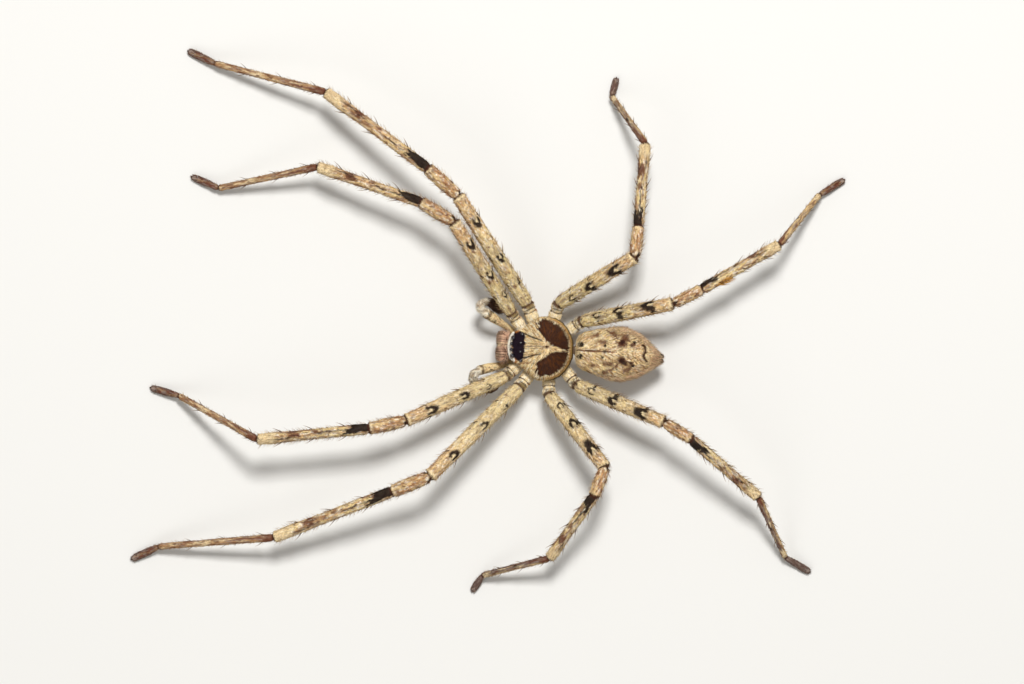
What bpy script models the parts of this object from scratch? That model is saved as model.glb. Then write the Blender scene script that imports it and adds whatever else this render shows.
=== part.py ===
"""A huntsman spider at life size, as a still model that stands with its legs spread flat.

+Z is up, the head looks toward -Y and the spider's left is +X. The origin is on the floor,
under the middle of the spread legs. Sizes are in millimetres, and MM makes them metres."""

import math
import random

import bmesh
import bpy
from mathutils import Matrix, Vector
from mathutils.bvhtree import BVHTree

MM = 0.001
UP = Vector((0.0, 0.0, 1.0))
HALF_GAP = 0.15  # each side of a joint stands back this far from its middle

# The carapace's centre, from the middle of the spread legs
BODY_X = 2.15
BODY_Y = 7.68

# Levels above the floor
STERNUM_LOW = 2.9
STERNUM_TOP = 3.35
COXA_LEVEL = 3.95
TROCHANTER_LEVEL = 4.1
RIM_LOW = 5.3
RIM_TOP = 5.6
CROWN = 7.7

# Carapace: half its width and the height of its roof above the rim, from front to back
CARAPACE_STATIONS = (
    (-4.50, 2.10, 0.80),
    (-4.15, 2.25, 1.15),
    (-3.40, 2.55, 1.40),
    (-2.60, 3.15, 1.60),
    (-1.70, 3.95, 1.80),
    (-0.70, 4.50, 1.98),
    (0.50, 4.66, 2.08),
    (1.60, 4.50, 2.05),
    (2.60, 3.95, 1.80),
    (3.40, 3.10, 1.35),
    (4.00, 2.10, 0.80),
    (4.35, 1.10, 0.30),
)
ROOF_ROUNDING = 2.3  # 2 is an ellipse, and more is a fuller shoulder
FRONT_BOW = 0.32  # the front edge is this much further forward in its middle
BOW_DEPTH = 2.0  # and is straight again this far back
UNDERSIDE_SHARE = 0.96  # the shield's underside is this much narrower than its rim
# The trunk under the shield, which the coxae surround
TRUNK_HALF_WIDTH = 2.1
TRUNK_HALF_LENGTH = 2.75
TRUNK_SQUARENESS = 2.6
TRUNK_OVERLAP = 0.2  # how far it reaches up into the shield

# Sternum with the labium as its tongue: distance back and half width
STERNUM_STATIONS = (
    (-3.05, 0.28),
    (-2.60, 0.45),
    (-2.35, 0.42),
    (-2.15, 1.05),
    (-1.20, 1.65),
    (0.00, 1.80),
    (1.20, 1.45),
    (2.20, 0.75),
    (2.80, 0.25),
)

# Abdomen: distance back, sideways drift, half width, underside and top
ABDOMEN_STATIONS = (
    (4.78, -0.03, 1.25, 4.60, 6.20),
    (4.95, -0.02, 1.90, 4.20, 6.75),
    (5.60, 0.00, 2.65, 3.75, 7.35),
    (7.60, 0.05, 3.30, 3.30, 8.00),
    (9.90, 0.12, 3.75, 3.05, 8.40),
    (11.60, 0.14, 3.72, 3.00, 8.40),
    (13.40, 0.16, 3.05, 3.20, 7.95),
    (14.60, 0.20, 2.20, 3.60, 7.30),
    (15.60, 0.28, 1.35, 4.05, 6.55),
    (16.40, 0.38, 0.65, 4.50, 5.85),
)
PEDICEL_RADIUS = 0.45
PEDICEL_LEVEL = 4.55
PEDICEL_START = 3.05
PEDICEL_END = 5.6

# Spinnerets: four short cones round the middle of the rear end
SPINNERET_ROOT = Vector((0.42, 16.62, 4.95))
SPINNERET_LENGTH = 0.85
SPINNERET_RADIUS = 0.32
SPINNERET_SPREAD = 0.22
SPINNERET_SPLAY = Vector((0.2, 1.0, 0.1))  # out, back and up or down, for each cone's direction
SPINNERET_SHAPE = ((0.0, 1.0), (0.6, 0.9), (1.0, 0.45))

# Eyes: out from the midline, back from the carapace's centre, and diameter
EYES = {
    "front_mid": (0.42, -4.52, 0.46),
    "front_side": (1.28, -4.30, 0.66),
    "rear_mid": (0.62, -3.20, 0.46),
    "rear_side": (1.88, -3.05, 0.56),
}
EYE_GAP = 0.12
EYE_RISE = 0.12  # how far the middle of an eye stands out of the roof, in diameters

# Chelicera: distance back, level, half width and half depth, down from its top
CHELICERA_OUT = 1.06
CHELICERA_SQUARENESS = 2.6
CHELICERA_STATIONS = (
    (-5.45, 6.15, 0.50, 0.28),
    (-5.62, 5.90, 0.78, 0.58),
    (-5.86, 5.20, 0.90, 0.84),
    (-5.88, 4.00, 0.89, 0.86),
    (-5.72, 3.00, 0.76, 0.74),
    (-5.60, 2.35, 0.58, 0.56),
    (-5.56, 2.10, 0.42, 0.38),
)
# Fang: a hook from the chelicera's foot, folded back and inward
FANG_POINTS = (
    (1.12, -5.84, 1.80, 0.28),
    (1.08, -5.72, 1.45, 0.26),
    (0.92, -5.30, 1.15, 0.21),
    (0.68, -4.82, 1.05, 0.16),
    (0.42, -4.40, 1.12, 0.09),
)
FANG_ROOT_FACING = Vector((0, -0.25, -1))

# Palp base, common to both sides: out, back, level and half width
PALP_BASE = (
    (0.95, -3.30, 2.80, 0.36),
    (1.60, -3.95, 2.80, 0.42),
    (2.25, -4.60, 2.90, 0.36),
    (2.55, -4.95, 3.05, 0.38),
)
# The rest of each palp, which is held its own way: out, back, level and half width
PALP_FEMUR = {
    "R": ((3.05, -5.85, 3.85, 0.42), (4.00, -7.50, 5.05, 0.58), (4.68, -8.68, 5.62, 0.48)),
    "L": ((2.75, -5.75, 3.60, 0.42), (3.25, -7.60, 4.60, 0.58), (3.72, -9.00, 5.10, 0.48)),
}
PALP_END = {
    "R": (
        (4.68, -8.68, 5.62, 0.48),
        (5.15, -9.22, 5.62, 0.56),
        (5.70, -9.30, 5.25, 0.52),
        (6.10, -8.75, 4.65, 0.46),
        (6.20, -8.15, 4.15, 0.50),
        (5.95, -7.50, 3.60, 0.66),
        (5.45, -6.90, 3.05, 0.66),
        (5.00, -6.45, 2.60, 0.46),
        (4.80, -6.25, 2.40, 0.24),
    ),
    "L": (
        (3.72, -9.00, 5.10, 0.48),
        (4.30, -9.58, 4.95, 0.56),
        (5.05, -9.75, 4.55, 0.52),
        (5.65, -9.35, 4.10, 0.46),
        (6.00, -8.70, 3.65, 0.50),
        (6.15, -7.90, 3.25, 0.66),
        (6.10, -7.15, 2.85, 0.66),
        (5.95, -6.55, 2.55, 0.46),
        (5.88, -6.25, 2.40, 0.24),
    ),
}

# Legs, by pair from the front: where the coxa leaves the trunk, out and back
COXA_ROOTS = {1: (1.85, -2.60), 2: (2.50, -0.85), 3: (2.50, 0.90), 4: (1.90, 2.55)}
COXA_SHARE = 0.74  # the coxa's part of the way to the hip, and the trochanter has the rest
# Length along each segment: femur, patella, tibia, metatarsus, tarsus
LENGTHS = {
    1: (16.05, 5.45, 16.00, 15.20, 4.45),
    2: (18.70, 5.85, 18.60, 17.15, 4.55),
    3: (13.70, 4.50, 11.90, 10.80, 2.95),
    4: (14.10, 4.60, 12.95, 11.10, 4.40),
}
# Full width of the same five
WIDTHS = {
    1: (2.10, 1.85, 1.60, 1.05, 0.95),
    2: (2.25, 1.95, 1.70, 1.10, 1.00),
    3: (2.15, 1.70, 1.55, 0.98, 0.86),
    4: (2.10, 1.65, 1.60, 0.98, 0.90),
}
# Where the femur leaves the trochanter, out from the midline and back
HIPS = {
    "R1": (4.79, -4.83),
    "L1": (4.28, -5.08),
    "R2": (6.23, -2.67),
    "L2": (5.81, -3.09),
    "R3": (6.51, 1.83),
    "L3": (6.58, 1.29),
    "R4": (4.22, 5.30),
    "L4": (4.95, 5.13),
}
# Heading of each segment in degrees out from straight ahead, turned to the leg's own side
HEADINGS = {
    "R1": (54.1, 27.4, 15.7, -15.4, 19.6),
    "L1": (27.4, 15.8, 9.1, -25.1, -12.4),
    "R2": (53.8, 38.3, 33.5, 11.3, 22.1),
    "L2": (48.2, 25.7, 24.8, 8.2, 28.7),
    "R3": (144.8, 93.3, 91.3, 51.9, 101.0),
    "L3": (131.1, 71.9, 58.3, 18.3, 60.4),
    "R4": (165.6, 149.9, 146.6, 125.9, 145.3),
    "L4": (160.5, 151.6, 142.7, 118.1, 152.8),
}
# Level of the hip and of each joint after it
HIP_LEVEL = {1: 4.85, 2: 5.0, 3: 5.0, 4: 4.9}
JOINT_LEVELS = {
    "R1": (9.6, 8.8, 5.8),
    "L1": (8.6, 9.6, 9.3),
    "R2": (8.8, 9.7, 6.1),
    "L2": (10.3, 9.2, 5.5),
    "R3": (10.0, 9.0, 8.2),
    "L3": (9.2, 10.3, 5.6),
    "R4": (9.7, 8.6, 7.3),
    "L4": (8.7, 9.6, 6.9),
}
ANKLE_LEVEL = 1.3
TOE_LEVEL = 0.34

# Outline of each segment: share of its length, share of its width
COXA_SHAPE = ((0.0, 0.62), (0.3, 0.78), (0.65, 0.88), (0.92, 0.80))
TROCHANTER_SHAPE = ((0.12, 0.74), (0.5, 0.86), (1.0, 0.80))
FEMUR_SHAPE = ((0.0, 0.82), (0.08, 0.94), (0.22, 1.0), (0.5, 1.0), (0.78, 0.92), (0.92, 0.88), (1.0, 0.82))
PATELLA_SHAPE = ((0.0, 0.84), (0.18, 0.97), (0.5, 1.05), (0.84, 0.96))
TIBIA_SHAPE = ((0.0, 0.97), (0.1, 1.0), (0.4, 0.96), (0.65, 0.94), (0.86, 1.06), (0.95, 1.02), (1.0, 0.86))
METATARSUS_SHAPE = ((0.0, 0.96), (0.07, 1.08), (0.25, 1.0), (0.6, 0.92), (0.92, 0.92), (1.0, 0.86))
TARSUS_SHAPE = ((0.0, 0.86), (0.15, 0.98), (0.4, 1.04), (0.65, 1.06), (0.85, 0.98), (1.0, 0.62))
FEMUR_BOW = 0.035  # how far the middle of a segment rises, as a share of its length
TIBIA_BOW = 0.012

# Spines: shares of the segment's length, and turns round it in degrees from its top,
# positive toward the head
SPINE_ROWS = {
    "femur": ((0.20, 0.44, 0.77), (-18, 50, -84)),
    "tibia": ((0.50, 0.78), (72, -72, 150, -150)),
    "metatarsus": ((0.10, 0.42), (78, -78)),
}
# How far each leg is rolled about itself, in degrees, which turns all its spines
ROLLS = {"R1": -8, "L1": 8, "R2": -4, "L2": -4, "R3": 0, "L3": 0, "R4": 42, "L4": 16}
SPINE_LENGTH = {"femur": 2.3, "tibia": 2.4, "metatarsus": 2.0}
SPINE_RADIUS = {"femur": 0.25, "tibia": 0.25, "metatarsus": 0.22}
SPINE_TIP_RADIUS = 0.05
SPINE_LEAN = 50.0  # degrees between a spine and its segment, whose far end it points to
SPINE_DEPTH = 0.45  # how deep the root's middle sits, as a share of the segment's radius
SPINE_CLEARANCE = 0.3
SPINE_TESTS = (0.4, 0.6, 0.8, 1.0)  # shares of its length where the clearance is measured
SPINE_SIZES = (1.0, 0.75)  # what is tried until a spine is clear: its length, then its turn
SPINE_LIFTS = (1.0, 0.7, 0.4)
SPINE_SIDES = 5

# Colours: pale legs, a warmer body and dark feet, fangs and eyes
CREAM = (0.56, 0.44, 0.27)
TAN = (0.45, 0.32, 0.18)
BROWN = (0.12, 0.06, 0.035)
BLACK = (0.012, 0.009, 0.01)
DULL = 0.7
GLOSSY = 0.2


def clear_scene():
    for obj in list(bpy.data.objects):
        bpy.data.objects.remove(obj)


def on_body(out, back, level, sign=1):
    """A point from its distance out to one side, behind the carapace's centre, and level."""
    return Vector((BODY_X + sign * out, BODY_Y + back, level))


def add_material(obj, colour):
    material = bpy.data.materials.new(obj.name)
    material.use_nodes = True
    shader = material.node_tree.nodes["Principled BSDF"]
    shader.inputs["Base Color"].default_value = (*colour, 1.0)
    shader.inputs["Roughness"].default_value = GLOSSY if colour == BLACK else DULL
    shader.inputs["Metallic"].default_value = 0.0
    obj.data.materials.append(material)


def as_object(name, bm):
    """A mesh object, still in millimetres, from a finished bmesh."""
    bmesh.ops.recalc_face_normals(bm, faces=bm.faces)
    mesh = bpy.data.meshes.new(name)
    bm.to_mesh(mesh)
    bm.free()
    return bpy.data.objects.new(name, mesh)


def settle(obj, collection, root, origin, colour):
    """Turns the mesh into metres about its own origin and hangs the object on the root."""
    obj.data.transform(Matrix.Scale(MM, 4) @ Matrix.Translation(-origin))
    obj.location = origin * MM
    obj.parent = root
    obj.data.shade_smooth()
    obj.data.set_sharp_from_angle(angle=math.radians(50))
    add_material(obj, colour)
    collection.objects.link(obj)


def add_ring(bm, centre, side, up, sides, reshape=None, floor=None):
    """One ring of a loft, as an oval of half axes side and up."""
    made = bmesh.ops.create_circle(bm, segments=sides, radius=1.0)["verts"]
    for vertex in made:
        u, v = vertex.co.x, vertex.co.y
        if reshape:
            u, v = reshape(u, v)
        vertex.co = centre + side * u + up * v
        if floor is not None:
            vertex.co.z = max(vertex.co.z, floor)
    return made


def bridge(bm, rings):
    """Skins the rings in order and caps both ends."""
    loops = [[edge for edge in bm.edges if edge.verts[0] in set(ring)] for ring in rings]
    for near, far in zip(loops, loops[1:]):
        bmesh.ops.bridge_loops(bm, edges=near + far)
    for ring in (rings[0], rings[-1]):
        bmesh.ops.contextual_create(bm, geom=ring)


def tube(name, points, half_widths, sides, first=None, last=None, floor=None):
    """A solid of round rings along a path. first and last turn the end rings to face them."""
    bm = bmesh.new()
    rings = []
    for index, (point, half_width) in enumerate(zip(points, half_widths)):
        before = points[max(index - 1, 0)]
        after = points[min(index + 1, len(points) - 1)]
        along = (after - before).normalized()
        if index == 0 and first:
            along = first
        if index == len(points) - 1 and last:
            along = last
        side = along.cross(UP).normalized()
        up = side.cross(along)
        rings.append(add_ring(bm, point, side * half_width, up * half_width, sides, None, floor))
    bridge(bm, rings)
    return as_object(name, bm)


def apply_modifiers(obj, collection):
    """Bakes the object's modifiers into its mesh."""
    collection.objects.link(obj)
    bpy.context.view_layer.update()
    graph = bpy.context.evaluated_depsgraph_get()
    baked = bpy.data.meshes.new_from_object(obj.evaluated_get(graph))
    collection.objects.unlink(obj)
    obj.modifiers.clear()
    obj.data = baked


def keep_largest(obj):
    """Keeps only the largest closed surface, so no sealed hollow or loose scrap stays."""
    bm = bmesh.new()
    bm.from_mesh(obj.data)
    left = set(bm.verts)
    islands = []
    while left:
        island = set()
        edge_of_island = [left.pop()]
        while edge_of_island:
            vertex = edge_of_island.pop()
            island.add(vertex)
            for edge in vertex.link_edges:
                other = edge.other_vert(vertex)
                if other in left:
                    left.remove(other)
                    edge_of_island.append(other)
        islands.append(island)
    largest = max(islands, key=len)
    scraps = [vertex for vertex in bm.verts if vertex not in largest]
    bmesh.ops.delete(bm, geom=scraps, context="VERTS")
    bm.to_mesh(obj.data)
    bm.free()


def combine(obj, others, operation, collection):
    """One Boolean with a set of closed pieces, applied, and the pieces removed."""
    tools = bpy.data.collections.new("tools")
    bpy.context.scene.collection.children.link(tools)
    for other in others:
        tools.objects.link(other)
    boolean = obj.modifiers.new("combine", "BOOLEAN")
    boolean.operand_type = "COLLECTION"
    boolean.collection = tools
    boolean.operation = operation
    apply_modifiers(obj, collection)
    for other in others:
        bpy.data.objects.remove(other)
    bpy.data.collections.remove(tools)
    keep_largest(obj)


def rounded(u, v, squareness):
    """Moves a point of the unit circle onto a superellipse."""
    def swell(value):
        return math.copysign(abs(value) ** (2.0 / squareness), value)
    return swell(u), swell(v)


def between(stations, back):
    """Half width and roof height of the carapace at a distance back, read between stations."""
    for near, far in zip(stations, stations[1:]):
        if near[0] <= back <= far[0]:
            share = (back - near[0]) / (far[0] - near[0])
            return tuple(a + (b - a) * share for a, b in zip(near[1:], far[1:]))
    return stations[0][1:]


def front_bow(across, back):
    """How far the head's front is pushed forward, where across is 0 in the middle and 1 at the side."""
    fading = max(0.0, 1.0 - (back - CARAPACE_STATIONS[0][0]) / BOW_DEPTH)
    return FRONT_BOW * fading * (1.0 - across**2)


def roof_level(out, back):
    """Level of the carapace's roof over a point."""
    half_width, _ = between(CARAPACE_STATIONS, back)
    half_width, rise = between(CARAPACE_STATIONS, back + front_bow(out / half_width, back))
    inside = max(0.0, 1.0 - (abs(out) / half_width) ** ROOF_ROUNDING)
    return RIM_TOP + rise * inside ** (1.0 / ROOF_ROUNDING)


def make_carapace(scratch):
    bm = bmesh.new()
    rings = []
    for back, half_width, rise in CARAPACE_STATIONS:
        def dome(u, v, rise=rise):
            u, v = rounded(u, v, ROOF_ROUNDING)
            if v < -0.01:
                return u * UNDERSIDE_SHARE, RIM_LOW - RIM_TOP
            return u, v * rise
        centre = on_body(0.0, back, RIM_TOP)
        ring = add_ring(bm, centre, Vector((half_width, 0, 0)), UP, 24, dome)
        for vertex in ring:
            vertex.co.y -= front_bow((vertex.co.x - BODY_X) / half_width, back)
        rings.append(ring)
    bridge(bm, rings)
    carapace = as_object("carapace", bm)

    bm = bmesh.new()
    rings = []
    for level in (STERNUM_TOP + 2 * HALF_GAP, RIM_TOP + TRUNK_OVERLAP):
        centre = on_body(0.0, 0.0, level)
        along = Vector((TRUNK_HALF_WIDTH, 0, 0))
        back = Vector((0, TRUNK_HALF_LENGTH, 0))
        rings.append(add_ring(bm, centre, along, back, 20, lambda u, v: rounded(u, v, TRUNK_SQUARENESS)))
    bridge(bm, rings)
    combine(carapace, [as_object("trunk", bm)], "UNION", scratch)

    sockets = []
    for centre, diameter in eye_places().values():
        bm = bmesh.new()
        place = Matrix.Translation(centre)
        bmesh.ops.create_icosphere(bm, subdivisions=1, radius=diameter / 2 + EYE_GAP, matrix=place)
        sockets.append(as_object("socket", bm))
    combine(carapace, sockets, "DIFFERENCE", scratch)
    return carapace


def eye_places():
    """Centre and diameter of each eye, by its name."""
    places = {}
    for name, (out, back, diameter) in EYES.items():
        level = roof_level(out, back) + EYE_RISE * diameter
        for letter, sign in (("R", -1), ("L", 1)):
            places[f"eye_{name}_{letter}"] = (on_body(out, back, level, sign), diameter)
    return places


def make_eye(name, centre, diameter):
    bm = bmesh.new()
    place = Matrix.Translation(centre)
    bmesh.ops.create_icosphere(bm, subdivisions=2, radius=diameter / 2, matrix=place)
    return as_object(name, bm)


def make_sternum():
    bm = bmesh.new()
    rings = []
    middle = (STERNUM_LOW + STERNUM_TOP) / 2
    rise = UP * (STERNUM_TOP - STERNUM_LOW) / 2
    for back, half_width in STERNUM_STATIONS:
        rings.append(add_ring(bm, on_body(0.0, back, middle), Vector((half_width, 0, 0)), rise, 10))
    bridge(bm, rings)
    return as_object("sternum", bm)


def make_abdomen(scratch):
    bm = bmesh.new()
    rings = []
    for back, drift, half_width, low, high in ABDOMEN_STATIONS:
        centre = on_body(drift, back, (low + high) / 2)
        rise = UP * (high - low) / 2
        rings.append(add_ring(bm, centre, Vector((half_width, 0, 0)), rise, 22))
    bridge(bm, rings)
    abdomen = as_object("abdomen", bm)
    ends = [on_body(0.0, back, PEDICEL_LEVEL) for back in (PEDICEL_START, PEDICEL_END)]
    pedicel = tube("pedicel", ends, (PEDICEL_RADIUS, PEDICEL_RADIUS), 10)
    combine(abdomen, [pedicel], "UNION", scratch)
    return abdomen


def make_spinnerets(scratch):
    cones = []
    for side, height in ((-1, -1), (1, -1), (-1, 1), (1, 1)):
        spread = Vector((side, 0, height)) * SPINNERET_SPREAD
        root = on_body(*SPINNERET_ROOT) + spread
        way = Vector((side, 1.0, height)) * SPINNERET_SPLAY
        tip = root + way.normalized() * SPINNERET_LENGTH
        points = [root.lerp(tip, share) for share, _ in SPINNERET_SHAPE]
        widths = [SPINNERET_RADIUS * size for _, size in SPINNERET_SHAPE]
        cones.append(tube("spinneret", points, widths, 8, Vector((0, 1, 0))))
    spinnerets = cones.pop()
    spinnerets.name = "spinnerets"
    combine(spinnerets, cones, "UNION", scratch)
    return spinnerets


def make_chelicera(letter, sign):
    bm = bmesh.new()
    rings = []
    for back, level, half_width, half_depth in CHELICERA_STATIONS:
        centre = on_body(CHELICERA_OUT, back, level, sign)
        axes = (Vector((half_width, 0, 0)), Vector((0, half_depth, 0)))
        rings.append(add_ring(bm, centre, *axes, 14, lambda u, v: rounded(u, v, CHELICERA_SQUARENESS)))
    bridge(bm, rings)
    return as_object(f"chelicera_{letter}", bm)


def make_fang(letter, sign):
    points = [on_body(out, back, level, sign) for out, back, level, _ in FANG_POINTS]
    widths = [half_width for *_, half_width in FANG_POINTS]
    return tube(f"fang_{letter}", points, widths, 8, FANG_ROOT_FACING.normalized())


def make_palp(letter, sign):
    """Two solids: the maxilla with the palp's first half, then its bent end with the bulb."""
    halves = (PALP_BASE + PALP_FEMUR[letter], PALP_END[letter])
    paths = [[on_body(out, back, level, sign) for out, back, level, _ in half] for half in halves]
    widths = [[half_width for *_, half_width in half] for half in halves]
    knee = (paths[1][1] - paths[0][-2]).normalized()
    paths[0][-1] = paths[0][-1] - knee * HALF_GAP
    paths[1][0] = paths[1][0] + knee * HALF_GAP
    base = tube(f"palp_{letter}", paths[0], widths[0], 10, None, knee)
    end = tube(f"palp_{letter}_tip", paths[1], widths[1], 10, knee)
    return base, end


def leg_joints(leg, sign, pair):
    """The points where a leg bends: trunk, trochanter, hip, knee, tibia, metatarsus, ankle, toe."""
    root = on_body(*COXA_ROOTS[pair], COXA_LEVEL, sign)
    hip = on_body(*HIPS[leg], HIP_LEVEL[pair], sign)
    neck = root.lerp(hip, COXA_SHARE)
    neck.z = TROCHANTER_LEVEL
    joints = [root, neck, hip]
    levels = (*JOINT_LEVELS[leg], ANKLE_LEVEL, TOE_LEVEL)
    for length, heading, level in zip(LENGTHS[pair], HEADINGS[leg], levels):
        last = joints[-1]
        reach = math.sqrt(length**2 - (level - last.z) ** 2)
        turn = math.radians(heading)
        step = Vector((sign * math.sin(turn), -math.cos(turn), 0.0)) * reach
        joints.append(Vector((last.x + step.x, last.y + step.y, level)))
    return joints


def facings(joints):
    """The way each joint's cut faces: half way between the segments that it parts."""
    ways = [(far - near).normalized() for near, far in zip(joints, joints[1:])]
    middle = [(a + b).normalized() for a, b in zip(ways, ways[1:])]
    return [ways[0], *middle, ways[-1]]


def stretch(near, far, shape, width, bow):
    """Ring centres and half widths of one segment, arched upward by its bow."""
    length = (far - near).length
    centres = [near.lerp(far, share) + UP * bow * length * math.sin(math.pi * share) for share, _ in shape]
    return centres, [width / 2 * size for _, size in shape]


def make_leg(letter, pair, sign):
    """The leg's five solids. Each comes with its joint, its colour and, where spines grow, its axis."""
    leg = f"{letter}{pair}"
    joints = leg_joints(leg, sign, pair)
    faces = facings(joints)
    root, neck, hip, knee, shin, heel, ankle, toe = joints
    femur_width, patella_width, tibia_width, metatarsus_width, tarsus_width = WIDTHS[pair]

    def cut(name, centres, widths, start, end, sides, floor=None):
        """A segment whose ends stand back from the joints that it meets."""
        if start > 0:
            centres[0] = centres[0] + faces[start] * HALF_GAP
        if end < len(joints) - 1:
            centres[-1] = centres[-1] - faces[end] * HALF_GAP
        return tube(f"leg_{leg}_{name}", centres, widths, sides, faces[start], faces[end], floor)

    coxa, coxa_widths = stretch(root, neck, COXA_SHAPE, femur_width, 0.0)
    trochanter, trochanter_widths = stretch(neck, hip, TROCHANTER_SHAPE, femur_width, 0.0)
    femur, femur_widths = stretch(hip, knee, FEMUR_SHAPE, femur_width, FEMUR_BOW)
    patella, patella_widths = stretch(knee, shin, PATELLA_SHAPE, patella_width, FEMUR_BOW)
    tibia, tibia_widths = stretch(shin, heel, TIBIA_SHAPE, tibia_width, TIBIA_BOW)
    metatarsus, metatarsus_widths = stretch(heel, ankle, METATARSUS_SHAPE, metatarsus_width, TIBIA_BOW)
    tarsus, tarsus_widths = stretch(ankle, toe, TARSUS_SHAPE, tarsus_width, 0.0)
    for centre, (share, _) in zip(tarsus, TARSUS_SHAPE):
        centre.z = TOE_LEVEL + (ANKLE_LEVEL - TOE_LEVEL) * (1 - share) ** 2

    femur_axis = (hip, knee, FEMUR_SHAPE, femur_width, FEMUR_BOW, sign, ROLLS[leg])
    tibia_axis = (shin, heel, TIBIA_SHAPE, tibia_width, TIBIA_BOW, sign, ROLLS[leg])
    metatarsus_axis = (heel, ankle, METATARSUS_SHAPE, metatarsus_width, TIBIA_BOW, sign, ROLLS[leg])
    return (
        (cut("coxa", coxa + trochanter, coxa_widths + trochanter_widths, 0, 2, 10), root, CREAM, None),
        (cut("femur", femur, femur_widths, 2, 3, 10), hip, CREAM, femur_axis),
        (cut("tibia", patella + tibia, patella_widths + tibia_widths, 3, 5, 10), knee, CREAM, tibia_axis),
        (cut("metatarsus", metatarsus, metatarsus_widths, 5, 6, 8), heel, TAN, metatarsus_axis),
        (cut("tarsus", tarsus, tarsus_widths, 6, 7, 8, 0.0), ankle, BROWN, None),
    )


def surface_tree(obj):
    """A search tree of the object's faces, for distances to it."""
    points = [vertex.co.copy() for vertex in obj.data.vertices]
    return BVHTree.FromPolygons(points, [list(face.vertices) for face in obj.data.polygons])


def spine_line(axis, share, turn, length):
    """Root and tip of a spine that stands on a segment's side and leans toward its far end."""
    near, far, shape, width, bow, sign, _ = axis
    (centre,), (radius,) = stretch(near, far, ((share, width_share(shape, share)),), width, bow)
    along = (far - near).normalized()
    side = along.cross(UP).normalized()
    up = side.cross(along)
    outward = up * math.cos(math.radians(turn)) + side * sign * math.sin(math.radians(turn))
    lean = math.radians(SPINE_LEAN)
    way = outward * math.sin(lean) + along * math.cos(lean)
    root = centre + outward * radius * (1 - SPINE_DEPTH)
    return root, root + way * length


def width_share(shape, share):
    """A segment's width at one share of its length, read between its outline's points."""
    for near, far in zip(shape, shape[1:]):
        if near[0] <= share <= far[0]:
            return near[1] + (far[1] - near[1]) * (share - near[0]) / (far[0] - near[0])
    return shape[-1][1]


def is_clear(root, tip, radius, trees):
    """Whether a spine keeps its clearance to every other solid and to the floor."""
    if tip.z < SPINE_CLEARANCE:
        return False
    for share in SPINE_TESTS:
        point = root.lerp(tip, share)
        near = radius * (1 - share) + SPINE_CLEARANCE
        if any(tree.find_nearest(point, near)[0] for tree in trees):
            return False
    return True


def place_spine(axis, share, turn, length, radius, trees):
    """The spine's line, turned up or shortened until it is clear, or None where it can't be."""
    for size in SPINE_SIZES:
        for lift in SPINE_LIFTS:
            root, tip = spine_line(axis, share, turn * lift, length * size)
            if is_clear(root, tip, radius, trees):
                return root, tip
    return None


def make_spine(root, tip, radius):
    bm = bmesh.new()
    way = tip - root
    place = Matrix.Translation((root + tip) / 2) @ way.to_track_quat("Z", "Y").to_matrix().to_4x4()
    bmesh.ops.create_cone(
        bm,
        cap_ends=True,
        segments=SPINE_SIDES,
        radius1=radius,
        radius2=SPINE_TIP_RADIUS,
        depth=way.length,
        matrix=place,
    )
    return as_object("spine", bm)


def grow_spines(obj, axis, trees, scratch):
    """Sets the segment's rows of spines, each a little different, and fuses them to it."""
    kind = obj.name.split("_")[-1]
    draw = random.Random(obj.name)
    shares, turns = SPINE_ROWS[kind]
    roll = axis[-1]
    spines = []
    for share in shares:
        for turn in turns:
            length = SPINE_LENGTH[kind] * draw.uniform(0.88, 1.1)
            aim = turn + roll + draw.uniform(-5, 5)
            spot = share + draw.uniform(-0.012, 0.012)
            line = place_spine(axis, spot, aim, length, SPINE_RADIUS[kind], trees)
            if line:
                spines.append(make_spine(*line, SPINE_RADIUS[kind]))
    combine(obj, spines, "UNION", scratch)


def main():
    clear_scene()
    spider = bpy.data.collections.new("huntsman_spider")
    scratch = bpy.data.collections.new("scratch")
    bpy.context.scene.collection.children.link(spider)
    bpy.context.scene.collection.children.link(scratch)
    root = bpy.data.objects.new("spider_root", None)
    spider.objects.link(root)

    solids = [
        (make_carapace(scratch), on_body(0.0, 0.0, CROWN), CREAM, None),
        (make_sternum(), on_body(0.0, 0.0, STERNUM_LOW), TAN, None),
        (make_abdomen(scratch), on_body(0.0, PEDICEL_START, PEDICEL_LEVEL), CREAM, None),
        (make_spinnerets(scratch), on_body(*SPINNERET_ROOT), BROWN, None),
    ]
    for name, (place, diameter) in eye_places().items():
        solids.append((make_eye(name, place, diameter), place, BLACK, None))
    for letter, sign in (("R", -1), ("L", 1)):
        top = on_body(CHELICERA_OUT, *CHELICERA_STATIONS[0][:2], sign)
        solids.append((make_chelicera(letter, sign), top, TAN, None))
        solids.append((make_fang(letter, sign), on_body(*FANG_POINTS[0][:3], sign), BLACK, None))
        base, end = make_palp(letter, sign)
        solids.append((base, on_body(*PALP_BASE[0][:3], sign), CREAM, None))
        solids.append((end, on_body(*PALP_END[letter][0][:3], sign), BROWN, None))
        for pair in LENGTHS:
            solids.extend(make_leg(letter, pair, sign))

    trees = {obj.name: surface_tree(obj) for obj, *_ in solids}
    for obj, _, _, axis in solids:
        if axis:
            others = [tree for name, tree in trees.items() if name != obj.name]
            grow_spines(obj, axis, others, scratch)
            trees[obj.name] = surface_tree(obj)
    for obj, origin, colour, _ in solids:
        settle(obj, spider, root, origin, colour)
    bpy.data.collections.remove(scratch)


main()
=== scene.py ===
# %% [markdown]
# # A huntsman spider at life size
# A museum's model maker builds an animal from the inside out: first the body's solid forms, then
# a skin over them, then the markings, and last the hair. The solids here come from a packed
# model, made before. This lesson lays the skin, the colours, the spines and the coat over them.
# All sizes are in millimetres, and MM makes them metres at the last moment.

import math
from types import SimpleNamespace

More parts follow.
